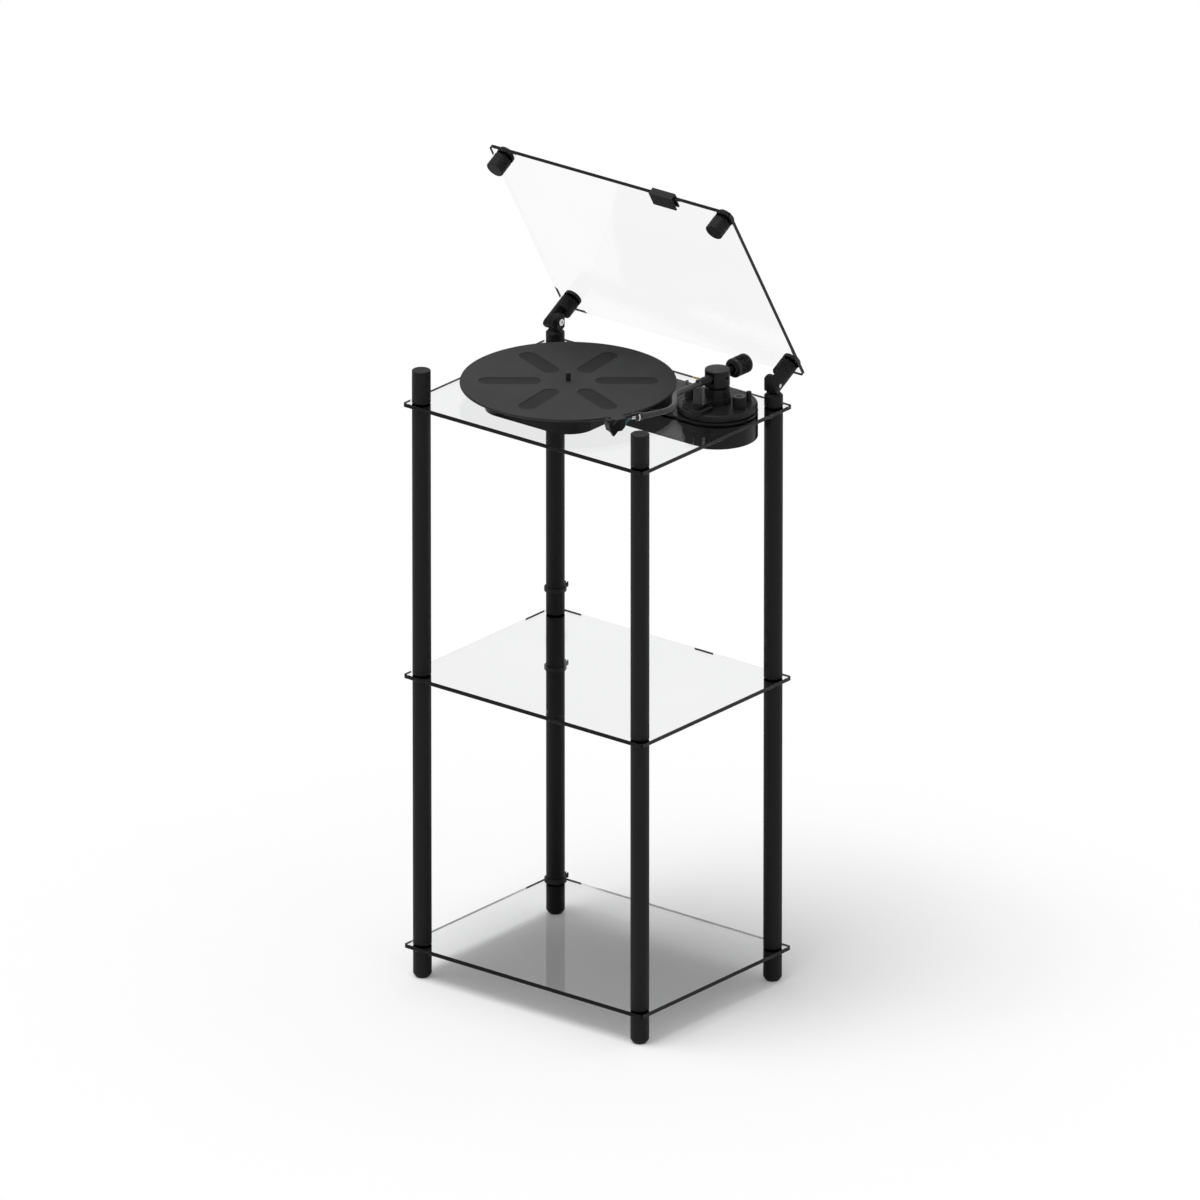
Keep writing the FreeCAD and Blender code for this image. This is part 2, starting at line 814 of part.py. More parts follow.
def build_bearing_and_motor():
    bearing = [
        ("0", "-bearing_depth"),
        ("bearing_radius", "-bearing_depth"),
        ("bearing_radius", "0"),
        ("bearing_flange_radius", "0"),
        ("bearing_flange_radius", "bearing_flange"),
        ("shaft_bore", "bearing_flange"),
        ("shaft_bore", "bearing_floor - bearing_depth"),
        ("0", "bearing_floor - bearing_depth"),
    ]
    node("platter_bearing", put(turned(bearing), "spindle_x", "0", "deck_level"))
    bore = "motor_shaft_radius + fit_gap"
    motor = [
        ("0", "-motor_height"),
        ("motor_radius", "-motor_height"),
        ("motor_radius", "0"),
        (bore, "0"),
        (bore, "motor_floor - motor_height"),
        ("0", "motor_floor - motor_height"),
    ]
    node("motor", put(turned(motor), "motor_x", "motor_back", "motor_top"))
    shaft = "motor_shaft_radius"
    low = "belt_level - motor_top - pulley_height / 2"
    pulley = [
        ("0", "motor_floor - motor_height + moving_gap"),
        (shaft, "motor_floor - motor_height + moving_gap"),
        (shaft, low),
        ("pulley_radius + pulley_lip", low),
        ("pulley_radius + pulley_lip", f"{low} + pulley_lip"),
        ("pulley_radius", f"{low} + pulley_lip"),
        ("pulley_radius", f"{low} + pulley_height - pulley_lip"),
        ("pulley_radius + pulley_lip", f"{low} + pulley_height - pulley_lip"),
        ("pulley_radius + pulley_lip", f"{low} + pulley_height"),
        ("0", f"{low} + pulley_height"),
    ]
    node("motor_pulley", put(turned(pulley), "motor_x", "motor_back", "motor_top"))


def belt_outline(gap):
    # two arcs round the hub and the pulley, joined by their outer tangents, about the spindle
    big = value("hub_radius") + gap
    small = value("pulley_radius") + gap
    across, along = -value("motor_left"), value("motor_back")
    reach = math.hypot(across, along)
    heading = math.atan2(along, across)
    lean = math.acos((big - small) / reach)

    def on_circle(x, y, radius, angle):
        return FreeCAD.Vector(x + radius * math.cos(angle), y + radius * math.sin(angle), 0)

    big_left = on_circle(0, 0, big, heading + lean)
    big_far = on_circle(0, 0, big, heading + math.pi)
    big_right = on_circle(0, 0, big, heading - lean)
    small_left = on_circle(across, along, small, heading + lean)
    small_near = on_circle(across, along, small, heading)
    small_right = on_circle(across, along, small, heading - lean)
    edges = [
        Part.Arc(big_left, big_far, big_right).toShape(),
        Part.LineSegment(big_right, small_right).toShape(),
        Part.Arc(small_right, small_near, small_left).toShape(),
        Part.LineSegment(small_left, big_left).toShape(),
    ]
    return Part.Face(Part.Wire(edges))


def build_belt():
    inner = belt_outline(value("belt_gap"))
    outer = belt_outline(value("belt_gap") + value("belt_thickness"))
    belt = doc.addObject("Part::Feature", "Belt")
    belt.Shape = outer.cut(inner).extrude(FreeCAD.Vector(0, 0, value("belt_width")))
    node("drive_belt", put(belt, "spindle_x", "0", "belt_level - belt_width / 2"))


def build_platter():
    hub = [
        ("shaft_bore", "0"),
        ("hub_radius", "0"),
        ("hub_radius", "hub_rim"),
        ("hub_collar_radius", "hub_rim"),
        ("hub_collar_radius", "disc_level - hub_bottom"),
        ("shaft_bore", "disc_level - hub_bottom"),
    ]
    node("platter_hub", put(turned(hub), "spindle_x", "0", "hub_bottom"))
    disc = [
        ("shaft_bore", "0"),
        ("platter_radius", "0"),
        ("platter_radius", "disc_thickness"),
        ("shaft_bore", "disc_thickness"),
    ]
    node("platter_disc", put(turned(disc), "spindle_x", "0", "disc_level"))
    node("platter_mat", put(slotted_mat(), "spindle_x", "0", "mat_level", (0, 0, 1),
                            "slot_angle"))
    shoulder = "record_level - disc_level"
    tip = f"{shoulder} + spindle_height"
    depth = "bearing_depth - bearing_floor - moving_gap + disc_level - deck_level"
    spindle = [
        ("0", f"-({depth})"),
        ("shaft_radius", f"-({depth})"),
        ("shaft_radius", shoulder),
        ("spindle_radius", shoulder),
        ("spindle_radius", f"{tip} - spindle_tip"),
        ("spindle_radius - spindle_tip", tip),
        ("0", tip),
    ]
    node("spindle", put(turned(spindle), "spindle_x", "0", "disc_level"))


def slotted_mat():
    # a round mat with a ring of radial slots cut through it
    body = doc.addObject("PartDesign::Body", "Mat")
    round_sketch = sketch_on(body, "XY_Plane", "Round")
    circles(round_sketch, [("0", "0")], "platter_radius - mat_margin")
    circles(round_sketch, [("0", "0")], "shaft_bore")
    pad = body.newObject("PartDesign::Pad", "Pad")
    pad.Profile = (round_sketch, [""])
    bind(pad, {"Length": "mat_thickness"})
    doc.recompute()
    slot = sketch_on(body, "XY_Plane", "Slot")
    half = value("slot_width") / 2
    inner = FreeCAD.Vector(value("slot_inner") + half, 0, 0)
    outer = FreeCAD.Vector(value("slot_outer") - half, 0, 0)
    up, normal = FreeCAD.Vector(0, half, 0), FreeCAD.Vector(0, 0, 1)
    inner_circle = Part.Circle(inner, normal, half)
    outer_circle = Part.Circle(outer, normal, half)
    slot.addGeometry(Part.ArcOfCircle(inner_circle, math.pi / 2, 1.5 * math.pi), False)
    slot.addGeometry(Part.LineSegment(inner - up, outer - up), False)
    slot.addGeometry(Part.ArcOfCircle(outer_circle, -math.pi / 2, math.pi / 2), False)
    slot.addGeometry(Part.LineSegment(outer + up, inner + up), False)
    for index in range(4):
        slot.addConstraint(Sketcher.Constraint("Tangent", index, 2, (index + 1) % 4, 1))
    slot.addConstraint(Sketcher.Constraint("Equal", 0, 2))
    for arc, formula, spot in ((0, "slot_inner + slot_width / 2", inner.x),
                               (2, "slot_outer - slot_width / 2", outer.x)):
        slot.addConstraint(Sketcher.Constraint("PointOnObject", arc, 3, -1))
        fix(slot, "DistanceX", arc, 3, formula, spot)
    held = slot.addConstraint(Sketcher.Constraint("Radius", 0, half))
    slot.setExpression(f"Constraints[{held}]", named("slot_width / 2"))
    pocket = pocket_through(body, slot)
    pattern = body.newObject("PartDesign::PolarPattern", "Slots")
    pattern.Originals = [pocket]
    pattern.Axis = (slot, ["N_Axis"])
    pattern.Angle = 360
    bind(pattern, {"Occurrences": "slot_count"})
    body.Tip = pattern
    return body


def build_arm_base():
    flange = [
        ("0", "0"),
        ("flange_neck_radius", "0"),
        ("flange_neck_radius", "flange_neck"),
        ("flange_radius", "flange_neck"),
        ("flange_radius", "flange_neck + flange_thickness - flange_chamfer"),
        ("flange_radius - flange_chamfer", "flange_neck + flange_thickness"),
        ("0", "flange_neck + flange_thickness"),
    ]
    disc = put(turned(flange), "pod_x", "pod_y", "deck_level")
    dial_bore = rod("skate_x", "skate_y", "flange_level - skate_pin_depth - moving_gap",
                    "skate_pin_radius + fit_gap", "skate_pin_depth + 2 * moving_gap")
    guide = rod("pod_x + guide_right", "pod_y + guide_back", "flange_level", "guide_radius",
                "guide_height")
    node("arm_flange", fuse(cut(disc, dial_bore), guide))

    level, high = "flange_level", "bracket_height"
    top = "bracket_level"
    end = "bracket_end_radius"
    solid = fuse(
        rod("pod_x", "pod_y", level, "bracket_radius", high),
        rod("cue_x", "cue_y", level, end, high),
        rod("rest_x", "rest_y", level, end, high),
        box(f"cue_x - {end}", f"rest_x + {end}", "cue_y", "pod_y", level, top),
        box("cue_x", "rest_x", f"rest_y - {end}", "cue_y", level, top),
    )
    post = rod("cue_x", "cue_y", top, "cue_post_radius", "cue_post_height")
    lift_bore = rod("cue_x", "cue_y", "lift_plate_level - lift_pin_depth - moving_gap",
                    "lift_pin_radius + fit_gap", "lift_pin_depth + 2 * moving_gap")
    collar = rod("pod_x", "pod_y", top, "housing_radius", "housing_height")
    shaft_bore = rod("pod_x", "pod_y", level, "shaft_bore", f"{high} + housing_height")
    lever_bore = rod("lever_x - lever_pin_depth - moving_gap", "lever_y", "lever_level",
                     "lever_radius + fit_gap", "lever_pin_depth + 2 * moving_gap", "x")
    node("arm_bracket", cut(fuse(solid, post, collar), lift_bore, shaft_bore, lever_bore))

    # a plain block, just under the arm at its lowest
    node("arm_rest", box("rest_x - rest_width / 2", "rest_x + rest_width / 2",
                         "rest_y - rest_depth / 2", "rest_y + rest_depth / 2", top,
                         "rest_level"))


def build_skate_dial():
    profile = [
        ("0", "-skate_pin_depth"),
        ("skate_pin_radius", "-skate_pin_depth"),
        ("skate_pin_radius", "moving_gap"),
        ("skate_radius", "moving_gap"),
        ("skate_radius", "skate_height - skate_chamfer"),
        ("skate_radius - skate_chamfer", "skate_height"),
        ("0", "skate_height"),
    ]
    node("skate_dial", put(turned(profile), "skate_x", "skate_y", "flange_level"))


def build_turret():
    # the turret turns on a shaft in the housing; a tunnel lets the arm through and tilt
    bottom, top = "-turret_bottom", "turret_top"
    neck = "housing_level + moving_gap - arm_level"
    profile = [
        ("0", f"{bottom} - turret_shaft"),
        ("shaft_radius", f"{bottom} - turret_shaft"),
        ("shaft_radius", neck),
        ("turret_neck_radius", neck),
        ("turret_neck_radius", bottom),
        ("turret_radius", bottom),
        ("turret_radius", f"{top} - turret_chamfer"),
        ("turret_radius - turret_chamfer", top),
        ("0", top),
    ]
    tunnel = box("-tunnel_half_width", "tunnel_half_width", "-2 * turret_radius",
                 "2 * turret_radius", "-tunnel_half_height", "tunnel_half_height")
    bore = rod("-turret_radius", "0", "0", "gimbal_pin_radius + fit_gap", "2 * turret_radius",
               "x")
    node("arm_turret", put(cut(turned(profile), tunnel, bore), "pod_x", "pod_y", "arm_level"))


def arm_centreline():
    # from the gimbal forward, out by the first bend and back in by the second one
    slope = math.radians(value("arm_slope_angle"))
    tail = math.radians(value("arm_tail_angle"))
    points = [FreeCAD.Vector(0, -value("gimbal_half_length"), 0)]
    points.append(FreeCAD.Vector(0, -value("arm_straight"), 0))
    points.append(points[-1] + value("arm_slope") * FreeCAD.Vector(math.sin(slope),
                                                                   -math.cos(slope), 0))
    points.append(points[-1] + value("arm_tail") * FreeCAD.Vector(-math.sin(tail),
                                                                  -math.cos(tail), 0))
    return points


def rounded_path(points, radii):
    # straight runs joined by tangent arcs
    edges, start = [], points[0]
    for before, corner, after, radius in zip(points, points[1:], points[2:], radii):
        inward = (corner - before).normalize()
        outward = (after - corner).normalize()
        turn = inward.getAngle(outward)
        run = radius * math.tan(turn / 2)
        first, last = corner - inward * run, corner + outward * run
        middle = (outward - inward).normalize()
        nearest = corner + middle * (radius / math.cos(turn / 2) - radius)
        edges.append(Part.LineSegment(start, first).toShape())
        edges.append(Part.Arc(first, nearest, last).toShape())
        start = last
    edges.append(Part.LineSegment(start, points[-1]).toShape())
    return Part.Wire(edges)


def pipe(path, radius):
    edge = path.Edges[0]
    start = edge.valueAt(edge.FirstParameter)
    heading = edge.tangentAt(edge.FirstParameter)
    ring = Part.Wire([Part.makeCircle(radius, start, heading)])
    return path.makePipeShell([ring], True, False)


def build_tonearm():
    block = box("-gimbal_half_width", "gimbal_half_width", "-gimbal_half_length",
                "gimbal_half_length", "-gimbal_half_height", "gimbal_half_height")
    pins = rod("-gimbal_pin_reach", "0", "0", "gimbal_pin_radius", "2 * gimbal_pin_reach", "x")
    stub = rod("0", "0", "0", "stub_radius", "stub_end", "y")
    node("arm_gimbal", put(fuse(block, pins, stub), "pod_x", "pod_y", "arm_level"))

    radii = [value("arm_first_bend"), value("arm_second_bend")]
    path = rounded_path(arm_centreline(), radii)
    tube = doc.addObject("Part::Feature", "Tube")
    bore_radius = value("arm_radius") - value("arm_wall")
    tube.Shape = pipe(path, value("arm_radius")).cut(pipe(path, bore_radius))
    node("arm_tube", put(tube, "pod_x", "pod_y", "arm_level"))


def build_headshell():
    # along its own -Y from the end of the tube, then turned to the tail's heading
    here = ("shell_x", "shell_y", "arm_level", (0, 0, 1), "-arm_tail_angle")
    socket = rod("0", "-collar_length", "0", "collar_radius", "collar_length + collar_overlap",
                 "y")
    tube_bore = rod("0", "0", "0", "arm_radius + fit_gap", "collar_overlap", "y")
    node("shell_collar", put(cut(socket, tube_bore), *here))

    # a narrow neck joins the collar to the plate that carries the cartridge
    back, front = "-collar_length", "-collar_length - shell_length"
    plate_start = f"{back} - shell_neck"
    nose_start = f"{front} + shell_nose"
    corners = [
        ("-shell_neck_width / 2", back),
        ("-shell_neck_width / 2", plate_start),
        ("-shell_width / 2", plate_start),
        ("-shell_width / 2", nose_start),
        ("-shell_nose / 2", front),
        ("shell_nose / 2", front),
        ("shell_width / 2", nose_start),
        ("shell_width / 2", plate_start),
        ("shell_neck_width / 2", plate_start),
        ("shell_neck_width / 2", back),
    ]
    plate = put(padded("XY_Plane", corners, "shell_thickness"), "0", "0",
                "shell_top - shell_thickness")
    # the finger lift points forward and outward from the shell's side
    finger = rod("-lift_root", "0", "0", "lift_radius", "lift_length", "x")
    lift = put(group([finger]), "shell_width / 2", f"{front} + lift_back",
               "shell_top - shell_thickness / 2", (0, 0, 1), "-lift_turn")
    screw_y = f"{front} + shell_screw_back"
    screws, holes = [], []
    for across in sides.values():
        x = f"{across} * shell_screw_spread"
        holes.append(rod(x, screw_y, "shell_top - shell_thickness",
                         "shell_screw_radius + fit_gap", "shell_thickness"))
        shank = rod(x, screw_y, "shell_top - shell_thickness", "shell_screw_radius",
                    "shell_thickness")
        head = rod(x, screw_y, "shell_top", "shell_screw_head", "shell_screw_head_height")
        screws.append(fuse(shank, head))
    shell = cut(fuse(plate, lift), *holes)
    node("headshell", put(group([shell, *screws]), *here))

    top = "shell_top - shell_thickness"
    start = f"{back} - cartridge_back"
    end = f"{start} - cartridge_length"
    outline = [
        (start, top),
        (start, f"{top} - cartridge_height + cartridge_taper"),
        (f"{start} - cartridge_taper", f"{top} - cartridge_height"),
        (f"{end} + cartridge_taper / 2", f"{top} - cartridge_height"),
        (end, f"{top} - cartridge_taper"),
        (end, top),
    ]
    body = put(padded("YZ_Plane", outline, "cartridge_width"), "-cartridge_width / 2", "0", "0")
    node("cartridge", put(group([body]), *here))

    stylus_top = f"{top} - cartridge_height"
    tip_y = f"{end} + stylus_back"
    wedge = [
        (f"{tip_y} + stylus_back", stylus_top),
        (f"{tip_y} - stylus_drop / 2", stylus_top),
        (tip_y, f"{stylus_top} - stylus_drop"),
        (f"{tip_y} + stylus_tip", f"{stylus_top} - stylus_drop"),
    ]
    stylus = put(padded("YZ_Plane", wedge, "stylus_width"), "-stylus_width / 2", "0", "0")
    node("stylus", put(group([stylus]), *here))


def build_counterweight():
    here = ("pod_x", "pod_y", "arm_level", (-1, 0, 0), 90)
    back = "weight_front + weight_length"
    floor = f"{back} - weight_back_wall"
    weight = [
        ("sleeve_radius + fit_gap", "weight_front"),
        ("weight_radius - weight_chamfer", "weight_front"),
        ("weight_radius", "weight_front + weight_chamfer"),
        ("weight_radius", f"{back} - weight_chamfer"),
        ("weight_radius - weight_chamfer", back),
        ("0", back),
        ("0", floor),
        ("sleeve_radius + fit_gap", floor),
    ]
    node("counterweight", put(turned(weight), *here))
    face = "weight_front - moving_gap"
    end = f"{floor} - sleeve_end_gap"
    sleeve = [
        ("stub_radius + fit_gap", f"{face} - dial_ring"),
        ("dial_ring_radius", f"{face} - dial_ring"),
        ("dial_ring_radius", face),
        ("sleeve_radius", face),
        ("sleeve_radius", end),
        ("stub_radius + fit_gap", end),
    ]
    node("weight_sleeve", put(turned(sleeve), *here))


def build_cue_lift():
    # a pin in the bracket's post carries an arc-shaped bar under the arm's sweep
    radius = math.hypot(value("cue_post_left"), value("cue_post_front"))
    half = value("lift_plate_width") / 2
    start, end = value("lift_start_angle"), value("lift_end_angle")
    ring = Part.makeCylinder(radius + half, value("lift_plate"), FreeCAD.Vector(),
                             FreeCAD.Vector(0, 0, 1), end - start)
    ring = ring.cut(Part.makeCylinder(radius - half, value("lift_plate")))
    ring.rotate(FreeCAD.Vector(), FreeCAD.Vector(0, 0, 1), -90 - end)
    bar = doc.addObject("Part::Feature", "Bar")
    bar.Shape = ring
    put(bar, "pod_x", "pod_y", "lift_plate_level")
    pin = rod("cue_x", "cue_y", "lift_plate_level - lift_pin_depth", "lift_pin_radius",
              "lift_pin_depth + lift_plate")
    node("cue_lift", fuse(bar, pin))


def build_cue_lever():
    # a bent rod: out of the bracket along +X, forward, and a finger hook turned back inward
    start = FreeCAD.Vector(-value("lever_pin_depth"), 0, 0)
    points = [start, FreeCAD.Vector(value("lever_out"), 0, 0)]
    points.append(points[-1] - FreeCAD.Vector(0, value("lever_reach"), 0))
    points.append(points[-1] - FreeCAD.Vector(value("lever_hook"), 0, 0))
    path = rounded_path(points, [value("lever_first_bend"), value("lever_second_bend")])
    lever = doc.addObject("Part::Feature", "Lever")
    lever.Shape = pipe(path, value("lever_radius"))
    node("cue_lever", put(lever, "lever_x", "lever_y", "lever_level"))


def hinged(label, item):
    # what is drawn for a closed lid, measured from the hinge axis, swings open with the lid
    put(item, "0", "post_y", "hinge_level", (-1, 0, 0), "lid_angle")
    return node(label, item)


def lid_spots():
    for y in ("-2 * post_y", "0"):
        for across in sides.values():
            yield f"{across} * post_x", y


def build_lid():
    plate = put(glass_plate("lid_glass_hole"), "0", "-post_y", "lid_rise")
    hinged("lid_glass", group([plate]))

    disc_top = "lid_disc + washer"
    shank_end = "-glass_thickness - washer - lid_screw_depth"
    disc = [
        ("0", shank_end),
        ("lid_screw_radius", shank_end),
        ("lid_screw_radius", "washer"),
        ("post_radius", "washer"),
        ("post_radius", f"{disc_top} - lid_disc_chamfer"),
        ("post_radius - lid_disc_chamfer", disc_top),
        ("0", disc_top),
    ]
    lid_top = "lid_rise + glass_thickness"
    discs, washers = [], []
    for x, y in lid_spots():
        discs.append(put(turned(disc), x, y, lid_top))
        washers.append(washer_ring(x, y, lid_top, "lid_screw_bore"))
        washers.append(washer_ring(x, y, "lid_metal", "lid_screw_bore"))
    hinged("lid_discs", group(discs))
    hinged("lid_washers", group(washers))

    screw_floor = "lid_metal - lid_screw_depth - stud_end_gap"
    knob = [
        ("0", "knob_bottom"),
        ("post_radius - cap_chamfer", "knob_bottom"),
        ("post_radius", "knob_bottom + cap_chamfer"),
        ("post_radius", "lid_metal"),
        ("lid_screw_bore", "lid_metal"),
        ("lid_screw_bore", screw_floor),
        ("0", screw_floor),
    ]
    knobs = [put(turned(knob), f"{across} * post_x", "-2 * post_y", "0")
             for across in sides.values()]
    hinged("lid_knobs", group(knobs))
    for side, across in sides.items():
        x = f"{across} * post_x"
        barrel = rod(x, "0", "barrel_bottom", "post_radius", "barrel_length")
        disc_rod = rod(f"{x} - post_radius", "0", "0", "knuckle_radius", "2 * post_radius", "x")
        flat = box(f"{x} - post_radius", f"{x} + post_radius", "-knuckle_radius",
                   "knuckle_radius", "0", "barrel_bottom")
        column = rod(x, "0", "-post_radius", "post_radius", "post_radius + barrel_bottom")
        half = put(half_block(across, "post_radius", "-post_radius", "barrel_bottom"),
                   f"{x} + {'moving_gap / 2' if across > 0 else '-post_radius'}",
                   "-post_radius", "-post_radius")
        arm = common(half, column, fuse(disc_rod, flat))
        bore = rod(f"{x} - 2 * post_radius", "0", "0", "hinge_pin_bore", "4 * post_radius", "x")
        screw = rod(x, "0", screw_floor, "lid_screw_bore", "barrel_length")
        hinged(f"lid_hinge_{side}", cut(fuse(barrel, arm), bore, screw))


def build_handle():
    front, top = "lid_front", "lid_rise + glass_thickness"
    right = "handle_left + handle_width"
    grip = box("handle_left", right, f"{front} - handle_front", f"{front} + handle_depth",
               "lid_rise - handle_plate", f"{top} + handle_plate")
    slot = box("handle_left", right, front, f"{front} + 2 * handle_depth", "lid_rise", top)
    hinged("lid_handle", cut(grip, slot))


def check_and_write():
    doc.recompute()
    for item in doc.Objects:
        if {"Invalid", "Error"} & set(item.State):
            raise RuntimeError(f"{item.Label} did not compute: {item.getStatusString()}")
    os.makedirs("parts", exist_ok=True)
    labels = [item.Label for item in nodes]
    if len(set(labels)) != len(labels):
        raise RuntimeError("two pieces share a name")
    for item in nodes:
        shape = item.Shape
        if shape.isNull() or not shape.isValid() or shape.Volume <= 0:
            raise RuntimeError(f"{item.Label} has no valid solid")
    for item in nodes:
        item.Shape.exportStep(f"parts/{item.Label}.step")
        print(f"{item.Label}: {len(item.Shape.Solids)} solid(s), {item.Shape.Volume:.0f} mm3")


fill_sheet()
build_feet()
build_posts()
build_joint_hardware()
build_shelves()
build_front_caps()
build_hinge_posts()
build_hinge_pins()
build_cable_clips()
build_housing()
build_sockets()
build_bearing_and_motor()
build_belt()
build_platter()
build_arm_base()
build_skate_dial()
build_turret()
build_tonearm()
build_headshell()
build_counterweight()
build_cue_lift()
build_cue_lever()
build_lid()
build_handle()
check_and_write()
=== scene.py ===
import math

import bpy
from mathutils import Matrix, Vector


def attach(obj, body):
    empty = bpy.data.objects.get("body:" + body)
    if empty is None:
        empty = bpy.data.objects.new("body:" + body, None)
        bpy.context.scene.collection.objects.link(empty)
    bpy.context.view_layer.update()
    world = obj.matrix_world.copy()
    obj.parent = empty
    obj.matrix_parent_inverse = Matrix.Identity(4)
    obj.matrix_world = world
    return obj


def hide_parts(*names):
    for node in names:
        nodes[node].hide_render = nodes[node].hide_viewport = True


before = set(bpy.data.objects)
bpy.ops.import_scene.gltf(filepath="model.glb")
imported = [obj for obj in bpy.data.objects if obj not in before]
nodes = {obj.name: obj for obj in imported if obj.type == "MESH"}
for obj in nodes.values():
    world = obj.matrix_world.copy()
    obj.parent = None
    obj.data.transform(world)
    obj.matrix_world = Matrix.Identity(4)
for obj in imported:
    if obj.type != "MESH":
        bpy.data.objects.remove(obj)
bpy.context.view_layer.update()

print("frame loaded,", len(nodes), "nodes")

# levels and places that many pieces share, in metres
levels = {"lowTop": 0.049, "middleTop": 0.4485, "topTop": 0.848, "deck": 0.8511,
          "spindleFoot": 0.8537, "flange": 0.862, "disc": 0.86585, "mat": 0.86805,
          "record": 0.86925, "hinge": 0.8795, "arm": 0.9005}
upWay, forwardWay, backWay = (0, 0, 1), (0, -1, 0), (0, 1, 0)
postX, postY = 0.192, 0.146
spindle = Vector((-0.0514, 0, 0))
armPivot = Vector((0.1457, 0.0805, levels["arm"]))
lidTilt = math.radians(60)
lidNormal = Vector((0, math.sin(lidTilt), math.cos(lidTilt)))
arm = {"straight": 0.093, "slope": 0.056, "slopeAngle": math.radians(38.5), "tail": 0.057,
       "tailAngle": math.radians(22)}
tailWay = Vector((-math.sin(arm["tailAngle"]), -math.cos(arm["tailAngle"]), 0))
slopeWay = Vector((math.sin(arm["slopeAngle"]), -math.cos(arm["slopeAngle"]), 0))
shellStart = (armPivot + Vector((0, -arm["straight"], 0)) + slopeWay * arm["slope"]
              + tailWay * arm["tail"])
corners = {"FrontLeft": (-postX, -postY), "FrontRight": (postX, -postY),
           "RearLeft": (-postX, postY), "RearRight": (postX, postY)}
cadCorner = {"FrontLeft": "front_left", "FrontRight": "front_right",
             "RearLeft": "rear_left", "RearRight": "rear_right"}
# edges sharper than the first angle are rounded, and those up to the second are shaded smooth
edgeAngles = {"rounded": math.radians(32), "smooth": math.radians(38)}
# a face whose normal has more than this along an axis counts as lying across that axis
flatness = 0.5


def deselectAll():
    if bpy.context.object and bpy.context.object.mode != "OBJECT":
        bpy.ops.object.mode_set(mode="OBJECT")
    bpy.ops.object.select_all(action="DESELECT")


def pick(piece):
    deselectAll()
    piece.select_set(True)
    bpy.context.view_layer.objects.active = piece
    return piece


def applyModifier(piece, kind, **settings):
    pick(piece)
    modifier = piece.modifiers.new(kind.title(), kind)
    for name, setting in settings.items():
        setattr(modifier, name, setting)
    bpy.ops.object.modifier_apply(modifier=modifier.name)


def easeEdges(piece, width, segments=2):
    # rounded edges, then face-weighted normals so that flats stay flat
    if width:
        applyModifier(piece, "BEVEL", width=width, segments=segments, limit_method="ANGLE",
                      angle_limit=edgeAngles["rounded"], use_clamp_overlap=False)
    pick(piece)
    bpy.ops.object.shade_smooth_by_angle(angle=edgeAngles["smooth"])
    applyModifier(piece, "WEIGHTED_NORMAL", keep_sharp=True)
    return piece


def standAt(piece, centre, heading=upWay):
    # what is made at the origin along +Z is turned to its heading, moved and applied
    piece.rotation_mode = "QUATERNION"
    piece.rotation_quaternion = Vector(heading).to_track_quat("Z", "Y")
    piece.location = centre
    pick(piece)
    bpy.ops.object.transform_apply(location=True, rotation=True, scale=True)
    return piece


def turnedPiece(name, centre, profile, ease=0.0003, sides=96, heading=upWay):
    # a lathe-turned piece, extruded up through pairs of radius and height
    deselectAll()
    radius, height = profile[0]
    bpy.ops.mesh.primitive_circle_add(vertices=sides, radius=radius, fill_type="NGON",
                                      location=(0, 0, height))
    piece = bpy.context.object
    piece.name = name
    bpy.ops.object.transform_apply(location=True)
    bpy.ops.object.mode_set(mode="EDIT")
    bpy.ops.mesh.select_all(action="SELECT")
    for nextRadius, nextHeight in profile[1:]:
        rise = {"value": (0, 0, nextHeight - height)}
        bpy.ops.mesh.extrude_region_move(TRANSFORM_OT_translate=rise)
        grow = nextRadius / radius
        bpy.ops.transform.resize(value=(grow, grow, 1), center_override=(0, 0, nextHeight))
        radius, height = nextRadius, nextHeight
    bpy.ops.mesh.select_all(action="SELECT")
    bpy.ops.mesh.normals_make_consistent(inside=False)
    bpy.ops.object.mode_set(mode="OBJECT")
    easeEdges(piece, ease)
    return standAt(piece, centre, heading)


def plainBar(name, radius, low, high, sides):
    # a cylinder or prism around the Z axis, from one height to another
    deselectAll()
    bpy.ops.mesh.primitive_cylinder_add(vertices=sides, radius=radius, depth=high - low,
                                        location=(0, 0, (low + high) / 2))
    piece = bpy.context.object
    piece.name = name
    bpy.ops.object.transform_apply(location=True)
    return piece


def cutWith(piece, cutter):
    applyModifier(piece, "BOOLEAN", operation="DIFFERENCE", object=cutter)
    bpy.data.objects.remove(cutter)
    return easeEdges(piece, 0)


def softened(name, node, width, segments=2):
    # a copy of a CAD node with its triangles joined up and its edges rounded
    piece = bpy.data.objects.new(name, nodes[node].data.copy())
    bpy.context.scene.collection.objects.link(piece)
    piece.data.materials.clear()
    pick(piece)
    if piece.data.has_custom_normals:
        bpy.ops.mesh.customdata_custom_splitnormals_clear()
    bpy.ops.object.mode_set(mode="EDIT")
    bpy.ops.mesh.select_all(action="SELECT")
    bpy.ops.mesh.remove_doubles(threshold=0.00001)
    bpy.ops.mesh.dissolve_limited(angle_limit=math.radians(0.5))
    bpy.ops.object.mode_set(mode="OBJECT")
    return easeEdges(piece, width, segments)


def copyPiece(piece, name, move):
    twin = bpy.data.objects.new(name, piece.data.copy())
    bpy.context.scene.collection.objects.link(twin)
    twin.data.transform(Matrix.Translation(move))
    return twin


def joined(name, pieces):
    deselectAll()
    for piece in pieces:
        piece.select_set(True)
    bpy.context.view_layer.objects.active = pieces[0]
    bpy.ops.object.join()
    pieces[0].name = name
    return pieces[0]


def dress(piece, body, slot, finish, *hidden):
    piece.data.materials.clear()
    piece.data.materials.append(finish)
    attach(piece, body)
    if hidden:
        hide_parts(*hidden)
    return piece


